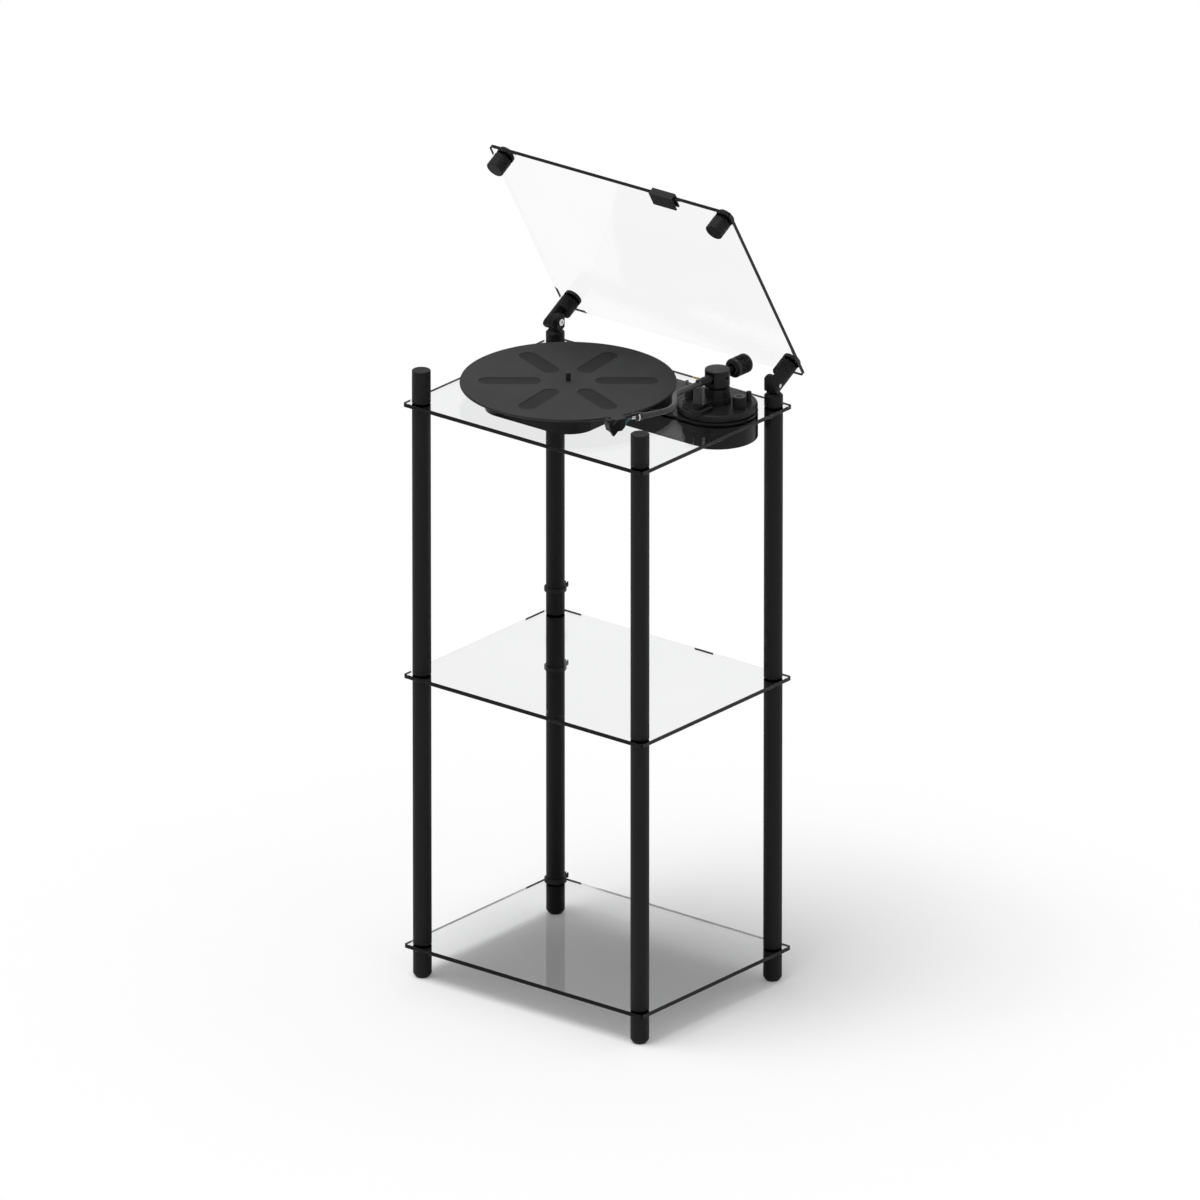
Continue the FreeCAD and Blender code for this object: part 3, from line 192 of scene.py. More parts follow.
def lidPoint(x, y, z):
    # a place on the closed lid, measured from the hinge axis, where it is with the lid open
    return Vector((x, postY + y * math.cos(lidTilt) + z * math.sin(lidTilt),
                   levels["hinge"] - y * math.sin(lidTilt) + z * math.cos(lidTilt)))


def addMath(tree, operation, *values):
    # a Math node, fed by sockets or plain numbers
    step = tree.nodes.new("ShaderNodeMath")
    step.operation = operation
    for socket, value in zip(step.inputs, values):
        if isinstance(value, (int, float)):
            socket.default_value = value
        else:
            tree.links.new(value, socket)
    return step.outputs[0]


def addRange(tree, source, low, high):
    # 0 to 1 while the source goes from low to high
    spread = tree.nodes.new("ShaderNodeMapRange")
    spread.inputs["From Min"].default_value = low
    spread.inputs["From Max"].default_value = high
    tree.links.new(source, spread.inputs["Value"])
    return spread


def startColourMix(tree, mask, first):
    # sockets 6 and 7 of the Mix node are its two colours, and the caller sets the second
    mix = tree.nodes.new("ShaderNodeMix")
    mix.data_type = "RGBA"
    tree.links.new(mask, mix.inputs[0])
    tree.links.new(first, mix.inputs[6])
    return mix


def startGroup(name, inputs, outputs):
    group = bpy.data.node_groups.new(name, "ShaderNodeTree")
    for label, kind in inputs:
        group.interface.new_socket(name=label, in_out="INPUT", socket_type=kind)
    for label, kind in outputs:
        group.interface.new_socket(name=label, in_out="OUTPUT", socket_type=kind)
    entry = group.nodes.new("NodeGroupInput")
    leave = group.nodes.new("NodeGroupOutput")
    return group, entry, leave


def addNoise(group, entry, scaleSocket, detail):
    noise = group.nodes.new("ShaderNodeTexNoise")
    noise.inputs["Detail"].default_value = detail
    group.links.new(entry.outputs["Vector"], noise.inputs["Vector"])
    group.links.new(entry.outputs[scaleSocket], noise.inputs["Scale"])
    return noise.outputs[0]


grain = {"fineDetail": 2, "broadDetail": 3, "fineShare": 0.55, "broadShare": 0.45,
         "tone": (0.36, 0.64), "sheen": (0.35, 0.65)}
grainInputs = [("Vector", "NodeSocketVector"), ("Fine", "NodeSocketFloat"),
               ("Broad", "NodeSocketFloat"), ("Dark", "NodeSocketColor"),
               ("Light", "NodeSocketColor"), ("Smooth", "NodeSocketFloat"),
               ("Rough", "NodeSocketFloat")]
grainOutputs = [("Color", "NodeSocketColor"), ("Roughness", "NodeSocketFloat"),
                ("Height", "NodeSocketFloat")]


def buildGrain():
    # fine grain over a broad, faint change of tone
    group, entry, leave = startGroup("coatGrain", grainInputs, grainOutputs)
    fine = addNoise(group, entry, "Fine", grain["fineDetail"])
    broad = addNoise(group, entry, "Broad", grain["broadDetail"])
    share = addMath(group, "MULTIPLY", broad, grain["broadShare"])
    both = addMath(group, "MULTIPLY_ADD", fine, grain["fineShare"], share)
    tone = addRange(group, both, *grain["tone"])
    blend = startColourMix(group, tone.outputs[0], entry.outputs["Dark"])
    group.links.new(entry.outputs["Light"], blend.inputs[7])
    rough = addRange(group, broad, *grain["sheen"])
    group.links.new(entry.outputs["Smooth"], rough.inputs["To Min"])
    group.links.new(entry.outputs["Rough"], rough.inputs["To Max"])
    group.links.new(blend.outputs[2], leave.inputs["Color"])
    group.links.new(rough.outputs[0], leave.inputs["Roughness"])
    group.links.new(fine, leave.inputs["Height"])
    return group


fleck = {"edge": 0.22, "core": 0.08}


def buildFlecks():
    # small scattered light flecks, as in filled rubber
    group, entry, leave = startGroup(
        "flecks", [("Vector", "NodeSocketVector"), ("Scale", "NodeSocketFloat")],
        [("Mask", "NodeSocketFloat")])
    cells = group.nodes.new("ShaderNodeTexVoronoi")
    group.links.new(entry.outputs["Vector"], cells.inputs["Vector"])
    group.links.new(entry.outputs["Scale"], cells.inputs["Scale"])
    dots = addRange(group, cells.outputs["Distance"], fleck["edge"], fleck["core"])
    group.links.new(dots.outputs[0], leave.inputs["Mask"])
    return group


grainGroup = buildGrain()
fleckGroup = buildFlecks()


def startFinish(name, look):
    # a material with its grain, which gives the roughness and, later on, the colour
    finish = bpy.data.materials.new(name)
    finish.use_nodes = True
    tree = finish.node_tree
    place = tree.nodes.new("ShaderNodeTexCoord")
    coat = tree.nodes.new("ShaderNodeGroup")
    coat.node_tree = grainGroup
    smooth, rough = look["roughness"]
    values = {"Fine": look["fine"], "Broad": look["broad"], "Dark": (*look["dark"], 1),
              "Light": (*look["light"], 1), "Smooth": smooth, "Rough": rough}
    for label, value in values.items():
        coat.inputs[label].default_value = value
    shader = tree.nodes["Principled BSDF"]
    tree.links.new(coat.outputs["Roughness"], shader.inputs["Roughness"])
    return finish, shader, place.outputs["Object"], coat


def makeFinish(name, look):
    # a coat, plastic, rubber or metal whose colour, roughness and grain vary over the piece
    finish, shader, place, coat = startFinish(name, look)
    tree = finish.node_tree
    stretch = tree.nodes.new("ShaderNodeMapping")
    stretch.inputs["Scale"].default_value = look.get("stretch", (1, 1, 1))
    tree.links.new(place, stretch.inputs["Vector"])
    tree.links.new(stretch.outputs["Vector"], coat.inputs["Vector"])
    colour = coat.outputs["Color"]
    if "flecks" in look:
        flecks = tree.nodes.new("ShaderNodeGroup")
        flecks.node_tree = fleckGroup
        flecks.inputs["Scale"].default_value = look["flecks"]
        tree.links.new(place, flecks.inputs["Vector"])
        mix = startColourMix(tree, flecks.outputs["Mask"], colour)
        mix.inputs[7].default_value = (*look["fleckColour"], 1)
        colour = mix.outputs[2]
    tree.links.new(colour, shader.inputs["Base Color"])
    bump = tree.nodes.new("ShaderNodeBump")
    bump.inputs["Strength"].default_value = look["bump"]
    bump.inputs["Distance"].default_value = look["depth"]
    tree.links.new(coat.outputs["Height"], bump.inputs["Height"])
    tree.links.new(bump.outputs["Normal"], shader.inputs["Normal"])
    shader.inputs["Metallic"].default_value = look.get("metallic", 0)
    shader.inputs["Specular IOR Level"].default_value = look.get("specular", 0.5)
    return finish


def makeGlass(name, look):
    # clear glass: a faint tint with broad, barely seen changes, and a very small roughness
    finish, shader, place, coat = startFinish(name, look)
    tree = finish.node_tree
    tree.links.new(place, coat.inputs["Vector"])
    tree.links.new(coat.outputs["Color"], shader.inputs["Base Color"])
    shader.inputs["Transmission Weight"].default_value = 1
    shader.inputs["IOR"].default_value = look["ior"]
    shader.inputs["Specular Tint"].default_value = (*look["specularTint"], 1)
    return finish


postCoat = makeFinish("postCoat", {
    "fine": 2200, "broad": 16, "dark": (0.0085, 0.0085, 0.009), "light": (0.0125, 0.0125, 0.013),
    "roughness": (0.46, 0.58), "bump": 0.35, "depth": 0.00012, "specular": 0.12})
satinPlastic = makeFinish("satinPlastic", {
    "fine": 900, "broad": 9, "dark": (0.0085, 0.0085, 0.009), "light": (0.0125, 0.0125, 0.013),
    "roughness": (0.2, 0.3), "bump": 0.08, "depth": 0.0001, "specular": 0.14})
mattePlastic = makeFinish("mattePlastic", {
    "fine": 1600, "broad": 30, "dark": (0.009, 0.009, 0.009), "light": (0.015, 0.015, 0.015),
    "roughness": (0.5, 0.62), "bump": 0.3, "depth": 0.0001, "specular": 0.2})
blackRubber = makeFinish("blackRubber", {
    "fine": 1300, "broad": 40, "dark": (0.003, 0.003, 0.003), "light": (0.007, 0.007, 0.007),
    "roughness": (0.7, 0.85), "bump": 0.3, "depth": 0.0001, "specular": 0.1})
matRubber = makeFinish("matRubber", {
    "fine": 1500, "broad": 12, "dark": (0.034, 0.034, 0.035), "light": (0.046, 0.046, 0.047),
    "roughness": (0.66, 0.8), "bump": 0.3, "depth": 0.00015, "specular": 0.14,
    "flecks": 900, "fleckColour": (0.062, 0.062, 0.063)})
# painted shade: the floor of the mat's slots is darker than the mat's own rubber
slotShadeRubber = makeFinish("slotShadeRubber", {
    "fine": 1500, "broad": 12, "dark": (0.02, 0.02, 0.021), "light": (0.03, 0.03, 0.031),
    "roughness": (0.7, 0.85), "bump": 0.3, "depth": 0.00015, "specular": 0.1})
armCoat = makeFinish("armCoat", {
    "fine": 1800, "broad": 30, "dark": (0.011, 0.011, 0.0115), "light": (0.017, 0.017, 0.0175),
    "roughness": (0.34, 0.46), "bump": 0.15, "depth": 0.00008, "specular": 0.13})
weightCoat = makeFinish("weightCoat", {
    "fine": 1800, "broad": 30, "dark": (0.021, 0.021, 0.0215), "light": (0.031, 0.031, 0.0315),
    "roughness": (0.36, 0.48), "bump": 0.2, "depth": 0.00008, "specular": 0.24})
shellMetal = makeFinish("shellMetal", {
    "fine": 1500, "broad": 40, "dark": (0.011, 0.011, 0.0115), "light": (0.018, 0.018, 0.0185),
    "roughness": (0.36, 0.5), "bump": 0.15, "depth": 0.00006, "specular": 0.1})
tubeCoat = makeFinish("tubeCoat", {
    "fine": 1500, "broad": 25, "dark": (0.026, 0.026, 0.027), "light": (0.036, 0.036, 0.037),
    "roughness": (0.3, 0.4), "bump": 0.1, "depth": 0.00008, "specular": 0.3})
brightSteel = makeFinish("brightSteel", {
    "fine": 60, "broad": 12, "stretch": (40, 40, 600), "dark": (0.5, 0.5, 0.5),
    "light": (0.66, 0.66, 0.66), "roughness": (0.18, 0.3), "bump": 0.1, "depth": 0.00003,
    "metallic": 1})
blackMetal = makeFinish("blackMetal", {
    "fine": 1500, "broad": 20, "dark": (0.012, 0.012, 0.0125), "light": (0.018, 0.018, 0.0185),
    "roughness": (0.3, 0.42), "bump": 0.12, "depth": 0.00005, "specular": 0.3})
turnedBrass = makeFinish("turnedBrass", {
    "fine": 60, "broad": 12, "stretch": (500, 20, 500), "dark": (0.62, 0.47, 0.2),
    "light": (0.78, 0.62, 0.3), "roughness": (0.2, 0.32), "bump": 0.1, "depth": 0.00003,
    "metallic": 1})
drawnSteel = makeFinish("drawnSteel", {
    "fine": 80, "broad": 10, "stretch": (60, 60, 8), "dark": (0.42, 0.42, 0.43),
    "light": (0.56, 0.56, 0.57), "roughness": (0.28, 0.42), "bump": 0.1, "depth": 0.00004,
    "metallic": 1})
greyPlastic = makeFinish("greyPlastic", {
    "fine": 1600, "broad": 40, "dark": (0.04, 0.04, 0.04), "light": (0.056, 0.056, 0.056),
    "roughness": (0.42, 0.55), "bump": 0.25, "depth": 0.0001, "specular": 0.25})
dialPaint = makeFinish("dialPaint", {
    "fine": 1900, "broad": 90, "dark": (0.03, 0.03, 0.03), "light": (0.05, 0.05, 0.05),
    "roughness": (0.4, 0.52), "bump": 0.2, "depth": 0.00005, "specular": 0.3})
markPaint = makeFinish("markPaint", {
    "fine": 2600, "broad": 60, "dark": (0.3, 0.3, 0.3), "light": (0.4, 0.4, 0.4),
    "roughness": (0.45, 0.6), "bump": 0.1, "depth": 0.00003, "specular": 0.3})
whiteLead = makeFinish("whiteLead", {
    "fine": 2600, "broad": 80, "dark": (0.6, 0.62, 0.62), "light": (0.72, 0.74, 0.74),
    "roughness": (0.35, 0.5), "bump": 0.1, "depth": 0.00003})
tealLead = makeFinish("tealLead", {
    "fine": 2600, "broad": 80, "dark": (0.03, 0.1, 0.12), "light": (0.06, 0.16, 0.18),
    "roughness": (0.35, 0.5), "bump": 0.1, "depth": 0.00003})
clearGlass = makeGlass("clearGlass", {
    "fine": 5, "broad": 2.2, "dark": (0.862, 0.868, 0.866), "light": (0.882, 0.886, 0.885),
    "roughness": (0.0, 0.003), "ior": 1.12, "specularTint": (1, 1, 1)})
lidClear = makeGlass("lidClear", {
    "fine": 5, "broad": 2.2, "dark": (0.945, 0.948, 0.947), "light": (0.962, 0.964, 0.963),
    "roughness": (0.0, 0.003), "ior": 1.12, "specularTint": (1, 1, 1)})
# painted shade: the glass edges get a near-black colour and a dimmed reflection, standing in for
# how dark glass edges look
edgeShadeGlass = makeGlass("edgeShadeGlass", {
    "fine": 60, "broad": 20, "dark": (0.002, 0.0021, 0.0021), "light": (0.006, 0.0064, 0.0063),
    "roughness": (0.0, 0.02), "ior": 1.5, "specularTint": (0.2, 0.2, 0.2)})
print("finishes made")

# camera, lamp, world and floor
view = {"azimuth": 38.83, "elevation": 21.51, "distance": 50, "width": 1.6463,
        "target": (0.0027, 0.0022, 0.559), "clip": (1, 400)}


def setCamera():
    across, up = math.radians(view["azimuth"]), math.radians(view["elevation"])
    back = Vector((math.sin(across) * math.cos(up), -math.cos(across) * math.cos(up),
                   math.sin(up)))
    deselectAll()
    bpy.ops.object.camera_add(location=Vector(view["target"]) + view["distance"] * back)
    camera = bpy.context.object
    camera.rotation_mode = "QUATERNION"
    camera.rotation_quaternion = (-back).to_track_quat("-Z", "Y")
    camera.data.lens = camera.data.sensor_width * view["distance"] / view["width"]
    camera.data.clip_start, camera.data.clip_end = view["clip"]
    bpy.context.scene.camera = camera


setCamera()
bpy.context.scene.view_settings.view_transform = "Standard"

light = {"strength": 1.6, "softness": 36, "towards": (0.14, 0.3, -1.0), "ambient": 0.53,
         "glassShade": 0.85, "floorTone": 0.84, "floorRadius": 9, "floorDrop": 0.0002,
         "fadeFrom": 0.9, "fadeTo": 2.6, "unscattered": 0.5}
white = (1, 1, 1, 1)


def seenRay(tree):
    # 1 for camera, glossy and transmission rays that no matt surface has scattered
    path = tree.nodes.new("ShaderNodeLightPath")
    total = path.outputs["Is Camera Ray"]
    for other in ("Is Glossy Ray", "Is Transmission Ray"):
        total = addMath(tree, "MAXIMUM", total, path.outputs[other])
    first = addMath(tree, "LESS_THAN", path.outputs["Diffuse Depth"], light["unscattered"])
    return addMath(tree, "MULTIPLY", total, first)


def mixShaders(tree, mask, first, second, target):
    mix = tree.nodes.new("ShaderNodeMixShader")
    for socket, source in zip(mix.inputs, (mask, first.outputs[0], second.outputs[0])):
        tree.links.new(source, socket)
    tree.links.new(mix.outputs[0], tree.nodes[target].inputs["Surface"])


def setLight():
    deselectAll()
    bpy.ops.object.light_add(type="SUN")
    sun = bpy.context.object
    sun.data.energy = light["strength"]
    sun.data.angle = math.radians(light["softness"])
    sun.visible_transmission = False  # the shelves keep their shadow
    sun.rotation_mode = "QUATERNION"
    sun.rotation_quaternion = Vector(light["towards"]).to_track_quat("-Z", "Y")
    world = bpy.data.worlds.new("softStudio")
    bpy.context.scene.world = world
    world.use_nodes = True
    tree = world.node_tree
    dim = tree.nodes["Background"]
    dim.inputs["Color"].default_value = white
    path = tree.nodes.new("ShaderNodeLightPath")
    # glass dims the light that comes through it
    strength = addMath(tree, "MULTIPLY_ADD", path.outputs["Is Transmission Ray"],
                       -light["glassShade"] * light["ambient"], light["ambient"])
    tree.links.new(strength, dim.inputs["Strength"])
    bright = tree.nodes.new("ShaderNodeBackground")
    bright.inputs["Color"].default_value = white
    mixShaders(tree, seenRay(tree), dim, bright, "World Output")


def setFloor():
    # a pale floor that keeps the object's shadow and fades to white further out
    deselectAll()
    bpy.ops.mesh.primitive_circle_add(vertices=96, radius=light["floorRadius"],
                                      fill_type="NGON", location=(0, 0, -light["floorDrop"]))
    floor = bpy.context.object
    floor.name = "floor"
    paint = bpy.data.materials.new("paleFloor")
    paint.use_nodes = True
    tree = paint.node_tree
    tree.nodes.remove(tree.nodes["Principled BSDF"])
    matt = tree.nodes.new("ShaderNodeBsdfDiffuse")
    tone = light["floorTone"]
    matt.inputs["Color"].default_value = (tone, tone, tone, 1)
    seen = seenRay(tree)
    glow = tree.nodes.new("ShaderNodeEmission")
    tree.links.new(addMath(tree, "MULTIPLY", seen, 1 - tone), glow.inputs["Strength"])
    both = tree.nodes.new("ShaderNodeAddShader")
    tree.links.new(matt.outputs[0], both.inputs[0])
    tree.links.new(glow.outputs[0], both.inputs[1])
    place = tree.nodes.new("ShaderNodeTexCoord")
    away = tree.nodes.new("ShaderNodeVectorMath")
    away.operation = "LENGTH"
    tree.links.new(place.outputs["Object"], away.inputs[0])
    fade = addRange(tree, away.outputs["Value"], light["fadeFrom"], light["fadeTo"])
    fade.interpolation_type = "SMOOTHSTEP"
    bright = tree.nodes.new("ShaderNodeEmission")
    mixShaders(tree, addMath(tree, "MULTIPLY", fade.outputs[0], seen), both, bright,
               "Material Output")
    floor.data.materials.append(paint)


setLight()
setFloor()
print("camera, light and floor set")

# feet, posts and front caps
post = {"radius": 0.013, "length": 0.3925, "washer": 0.0005, "ease": 0.0004}
foot = {"bottom": 0.001, "chamfer": 0.003, "chamferHeight": 0.0045, "height": 0.0425}
cap = {"height": 0.0465, "chamfer": 0.0008}


def buildPosts():
    radius = post["radius"]
    footShape = turnedPiece("footFirst", (0, 0, 0), [
        (radius - foot["chamfer"], foot["bottom"]),
        (radius, foot["bottom"] + foot["chamferHeight"]), (radius, foot["height"])],
        post["ease"])
    postShape = turnedPiece("postFirst", (0, 0, post["washer"]), [
        (radius, 0), (radius, post["length"])], post["ease"])
    for corner, (x, y) in corners.items():
        cad = cadCorner[corner]
        dress(copyPiece(footShape, "foot" + corner, (x, y, 0)), "stand", "posts", postCoat,
              "foot_" + cad)
        for name, cadName, level in (("lowerPost", "lower_post_", levels["lowTop"]),
                                     ("upperPost", "upper_post_", levels["middleTop"])):
            dress(copyPiece(postShape, name + corner, (x, y, level)), "stand", "posts",
                  postCoat, cadName + cad)
    for shape in (footShape, postShape):
        bpy.data.objects.remove(shape)
    for side, x in (("Left", -postX), ("Right", postX)):
        piece = turnedPiece("frontCap" + side, (x, -postY, levels["topTop"] + post["washer"]), [
            (radius, 0), (radius, cap["height"] - cap["chamfer"]),
            (radius - cap["chamfer"], cap["height"])])
        dress(piece, "stand", "posts", postCoat, "front_cap_" + side.lower())


buildPosts()
print("feet, posts and caps made")

# glass: clear faces, polished edges given a near-black colour as painted shade, and a black seal
# on the wall of the top's cut-out
sheets = {"bottomShelf": ("bottom_shelf", "stand", upWay),
          "middleShelf": ("middle_shelf", "stand", upWay),
          "topPlate": ("top_plate", "stand", upWay),
          "lidGlass": ("lid_glass", "lid", lidNormal)}
sheet = {"ease": 0.0004, "outerX": 0.2095, "outerY": 0.1635, "cornerX": 0.185, "cornerY": 0.14}


def isCutOut(spot):
    # inside the top plate's outer edge and not at one of its rounded corners
    across, along = abs(spot.x), abs(spot.y)
    corner = across > sheet["cornerX"] and along > sheet["cornerY"]
    return across < sheet["outerX"] and along < sheet["outerY"] and not corner


def buildGlass():
    for name, (cad, body, normal) in sheets.items():
        piece = softened(name, cad, sheet["ease"], segments=1)
        dress(piece, body, "glass", lidClear if body == "lid" else clearGlass, cad)
        piece.data.materials.append(edgeShadeGlass)
        piece.data.materials.append(blackRubber)
        # faces across the sheet stay clear, the edge faces take the painted-shade edge colour,
        # and the cut-out's wall takes the black seal
        for face in piece.data.polygons:
            face.material_index = 0 if abs(face.normal.dot(Vector(normal))) > flatness else 1
            if face.material_index == 1 and name == "topPlate" and isCutOut(face.center):
                face.material_index = 2


buildGlass()
print("glass made")

# pieces that keep the CAD's form and get rounded edges: node, body, slot, finish, edge width
softPieces = {
    "hingePostLeft": ("hinge_post_left", "stand", "posts", postCoat, 0.0004),
    "hingePostRight": ("hinge_post_right", "stand", "posts", postCoat, 0.0004),
    "lidHingeLeft": ("lid_hinge_left", "lid", "posts", postCoat, 0.0004),
    "lidHingeRight": ("lid_hinge_right", "lid", "posts", postCoat, 0.0004),
    "lidHandle": ("lid_handle", "lid", "clip_plastic", mattePlastic, 0.0004),
    "cableClips": ("cable_clips", "stand", "clip_plastic", mattePlastic, 0.0004),
    "deckPlate": ("deck", "stand", "housing", satinPlastic, 0.0006),
    "tubShell": ("tub", "stand", "housing", satinPlastic, 0.0008),
    "tubCover": ("bottom_cover", "stand", "housing", satinPlastic, 0.0003),
    "platterMat": ("platter_mat", "platter", "mat", matRubber, 0.0003),
    "armBracket": ("arm_bracket", "stand", "arm_base", armCoat, 0.0006),
    "armRest": ("arm_rest", "stand", "clip_plastic", greyPlastic, 0.0008),
    "armTurret": ("arm_turret", "turret", "arm_base", armCoat, 0.0005),
    "armGimbal": ("arm_gimbal", "tonearm", "arm_base", armCoat, 0.0004),
    "armTube": ("arm_tube", "tonearm", "arm_tube", tubeCoat, 0.0),
    "headShell": ("headshell", "tonearm", "headshell", shellMetal, 0.0003),
    "cartridgeBody": ("cartridge", "tonearm", "cartridge", satinPlastic, 0.0004),
    "stylusHolder": ("stylus", "tonearm", "stylus", satinPlastic, 0.0002),
    "cueLift": ("cue_lift", "cue_lift", "arm_base", armCoat, 0.0003),
    "cueLever": ("cue_lever", "cue_lever", "arm_base", armCoat, 0.0004),
}


def buildSoftPieces():
    for name, (cad, body, slot, finish, width) in softPieces.items():
        dress(softened(name, cad, width), body, slot, finish, cad)


buildSoftPieces()
print("rounded pieces made")

# platter disc, the floor of the mat's slots in a darker rubber colour that is painted shade, and
# the record spindle
platter = {"radius": 0.149, "thickness": 0.0022, "chamfer": 0.0006}
slotShadeFloor = {"radius": 0.1478, "low": 0.00005, "high": 0.0004}
record = {"foot": 0.005, "pin": 0.00355, "height": 0.013,
          "tip": ((0, 0.0022), (0.0008, 0.0006), (0.002, 0))}


def buildPlatter():
    radius, chamfer = platter["radius"], platter["chamfer"]
    disc = turnedPiece("platterDisc", spindle + Vector((0, 0, levels["disc"])), [
        (radius - chamfer, 0), (radius, chamfer), (radius, platter["thickness"])],
        ease=0.0004, sides=256)
    dress(disc, "platter", "platter_metal", blackMetal, "platter_disc")
    # a thin sheet under the mat, seen through its slots, in the darker painted-shade rubber
    floor = turnedPiece("slotShadeFloor", spindle + Vector((0, 0, levels["mat"])), [
        (slotShadeFloor["radius"], slotShadeFloor["low"]), (slotShadeFloor["radius"], slotShadeFloor["high"])],
        ease=0, sides=192)
    dress(floor, "platter", "mat", slotShadeRubber)
    profile = [(record["foot"], levels["spindleFoot"] - levels["record"]), (record["foot"], 0),
               (record["pin"], 0)]
    for inward, below in record["tip"]:
        profile.append((record["pin"] - inward, record["height"] - below))
    pinPiece = turnedPiece("spindlePin", spindle + Vector((0, 0, levels["record"])), profile,
                           sides=48)
    dress(pinPiece, "platter", "platter_metal", blackMetal, "spindle")


buildPlatter()
print("platter made")

# tonearm base: a flange with a rounded rim and a groove inside it, its guide post and a screw
flange = {"neck": 0.052, "neckHeight": 0.0023, "radius": 0.0555, "height": 0.0109, "lip": 0.0004,
          "round": 0.003, "roundSteps": 6, "grooveOut": 0.0523, "grooveIn": 0.0513,
          "grooveDepth": 0.0006}
guide = {"place": (0.0333, 0.0275, 0), "radius": 0.00365, "height": 0.015, "chamfer": 0.0006}
baseScrew = {"place": (0.0285, -0.0319, 0), "radius": 0.0016, "height": 0.0005,
             "chamfer": 0.0002, "rim": 0.0007, "recess": 0.0009, "recessFloor": 0.0001}


def buildFlange():
    radius, height, rounding = flange["radius"], flange["height"], flange["round"]
    neck, neckHeight, lip = flange["neck"], flange["neckHeight"], flange["lip"]
    profile = [(neck, 0), (neck, neckHeight), (radius - lip, neckHeight),
               (radius, neckHeight + lip)]
    for step in range(flange["roundSteps"] + 1):
        turn = math.radians(90 * step / flange["roundSteps"])
        profile.append((radius - rounding * (1 - math.cos(turn)),
                        height - rounding * (1 - math.sin(turn))))
    floor = height - flange["grooveDepth"]
    profile += [(flange["grooveOut"], height), (flange["grooveOut"], floor),
                (flange["grooveIn"], floor), (flange["grooveIn"], height)]
    centre = Vector((armPivot.x, armPivot.y, levels["deck"]))
    disc = turnedPiece("armFlange", centre, profile, ease=0, sides=192)
    dress(disc, "stand", "arm_base", armCoat, "arm_flange")
    top = centre + Vector((0, 0, height))
    radius, height, chamfer = guide["radius"], guide["height"], guide["chamfer"]
    postPiece = turnedPiece("guidePost", top + Vector(guide["place"]), [
        (radius + chamfer, 0), (radius, chamfer), (radius, height - chamfer),
        (radius - chamfer, height)], ease=0.0002, sides=48)
    dress(postPiece, "stand", "arm_base", armCoat)
    radius, height, chamfer = baseScrew["radius"], baseScrew["height"], baseScrew["chamfer"]
    screw = turnedPiece("flangeScrew", top + Vector(baseScrew["place"]), [
        (radius, 0), (radius, height - chamfer), (radius - chamfer, height),
        (radius - baseScrew["rim"], height),
        (radius - baseScrew["recess"], baseScrew["recessFloor"])], ease=0.0001, sides=32)
    dress(screw, "stand", "fasteners", blackMetal)


buildFlange()
print("tonearm base made")

# counterweight with a ribbed rim, the dial ring in front of it, and the skating dial
weight = {"radius": 0.0137, "front": 0.034, "length": 0.028, "chamfer": 0.0012,
          "rimFrom": 0.004, "rimTo": 0.024, "rimDepth": 0.0006, "rimSlope": 0.0004, "ribs": 72,
          "ribDepth": 0.0004, "ribInset": 0.0001, "ribMargin": 0.0006, "bore": 0.0052,
          "ribBore": 0.0118, "bottom": 0.06}
dialRing = {"front": 0.031, "length": 0.0027, "radius": 0.0105, "chamfer": 0.0006,
            "bore": 0.0042, "boreMargin": 0.001, "ticks": 20, "tickInset": 0.0022,
            "tickSink": 0.00002, "tickSize": (0.0012, 0.0004, 0.0001)}
skate = {"x": 0.183, "y": 0.082, "radius": 0.0096, "height": 0.0167, "gap": 0.0003,
         "stem": 0.002, "stemDepth": 0.005, "bodyInset": 0.0006, "shoulder": 0.0016,
         "ribs": 40, "ribDepth": 0.0004, "ribFrom": 0.001, "ribMargin": 0.0024,
         "face": 0.0084, "faceSink": 0.0001, "faceHeight": 0.0002, "hub": 0.0046,
         "hubHeight": 0.0007, "hubChamfer": 0.0006, "hubTop": 0.0009, "ticks": 28,
         "tickRadius": 0.0068, "tickRise": 0.0001, "tickSize": (0.0018, 0.0006, 0.0001)}
longTick = {"every": 4, "length": 1.5}


def ribbedRing(name, radius, low, high, ribs, depth):
    # a knurled sleeve: every second one of its side faces is pushed in
    piece = plainBar(name, radius, low, high, sides=ribs * 2)
    side = [face for face in piece.data.polygons if abs(face.normal.z) < flatness]
    side.sort(key=lambda face: math.atan2(face.center.y, face.center.x))
    for face in piece.data.polygons:
        face.select = False
    for face in side[::2]:
        face.select = True
    bpy.ops.object.mode_set(mode="EDIT")
    bpy.ops.mesh.select_mode(type="FACE")
    bpy.ops.mesh.inset(thickness=depth / 2, depth=-depth, use_individual=True)
    bpy.ops.object.mode_set(mode="OBJECT")
    return easeEdges(piece, 0)


def tickMarks(name, centre, heading, radius, count, size):
    # painted ticks in a ring, some of them longer
    ticks = []
    for index in range(count):
        turn = 2 * math.pi * index / count
        deselectAll()
        bpy.ops.mesh.primitive_cube_add(size=1, location=(radius * math.cos(turn),
                                                          radius * math.sin(turn), 0),
                                        rotation=(0, 0, turn))
        tick = bpy.context.object
        longer = 1 if index % longTick["every"] else longTick["length"]
        tick.scale = (size[0] * longer, size[1], size[2])
        pick(tick)
        bpy.ops.object.transform_apply(location=True, rotation=True, scale=True)
        ticks.append(tick)
    return standAt(joined(name, ticks), centre, heading)


def bored(piece, radius, low, high):
    # a hole around the arm's axis, from one distance behind the pivot to another
    cutter = plainBar("cutter", radius, low, high, sides=64)
    return cutWith(piece, standAt(cutter, armPivot, backWay))


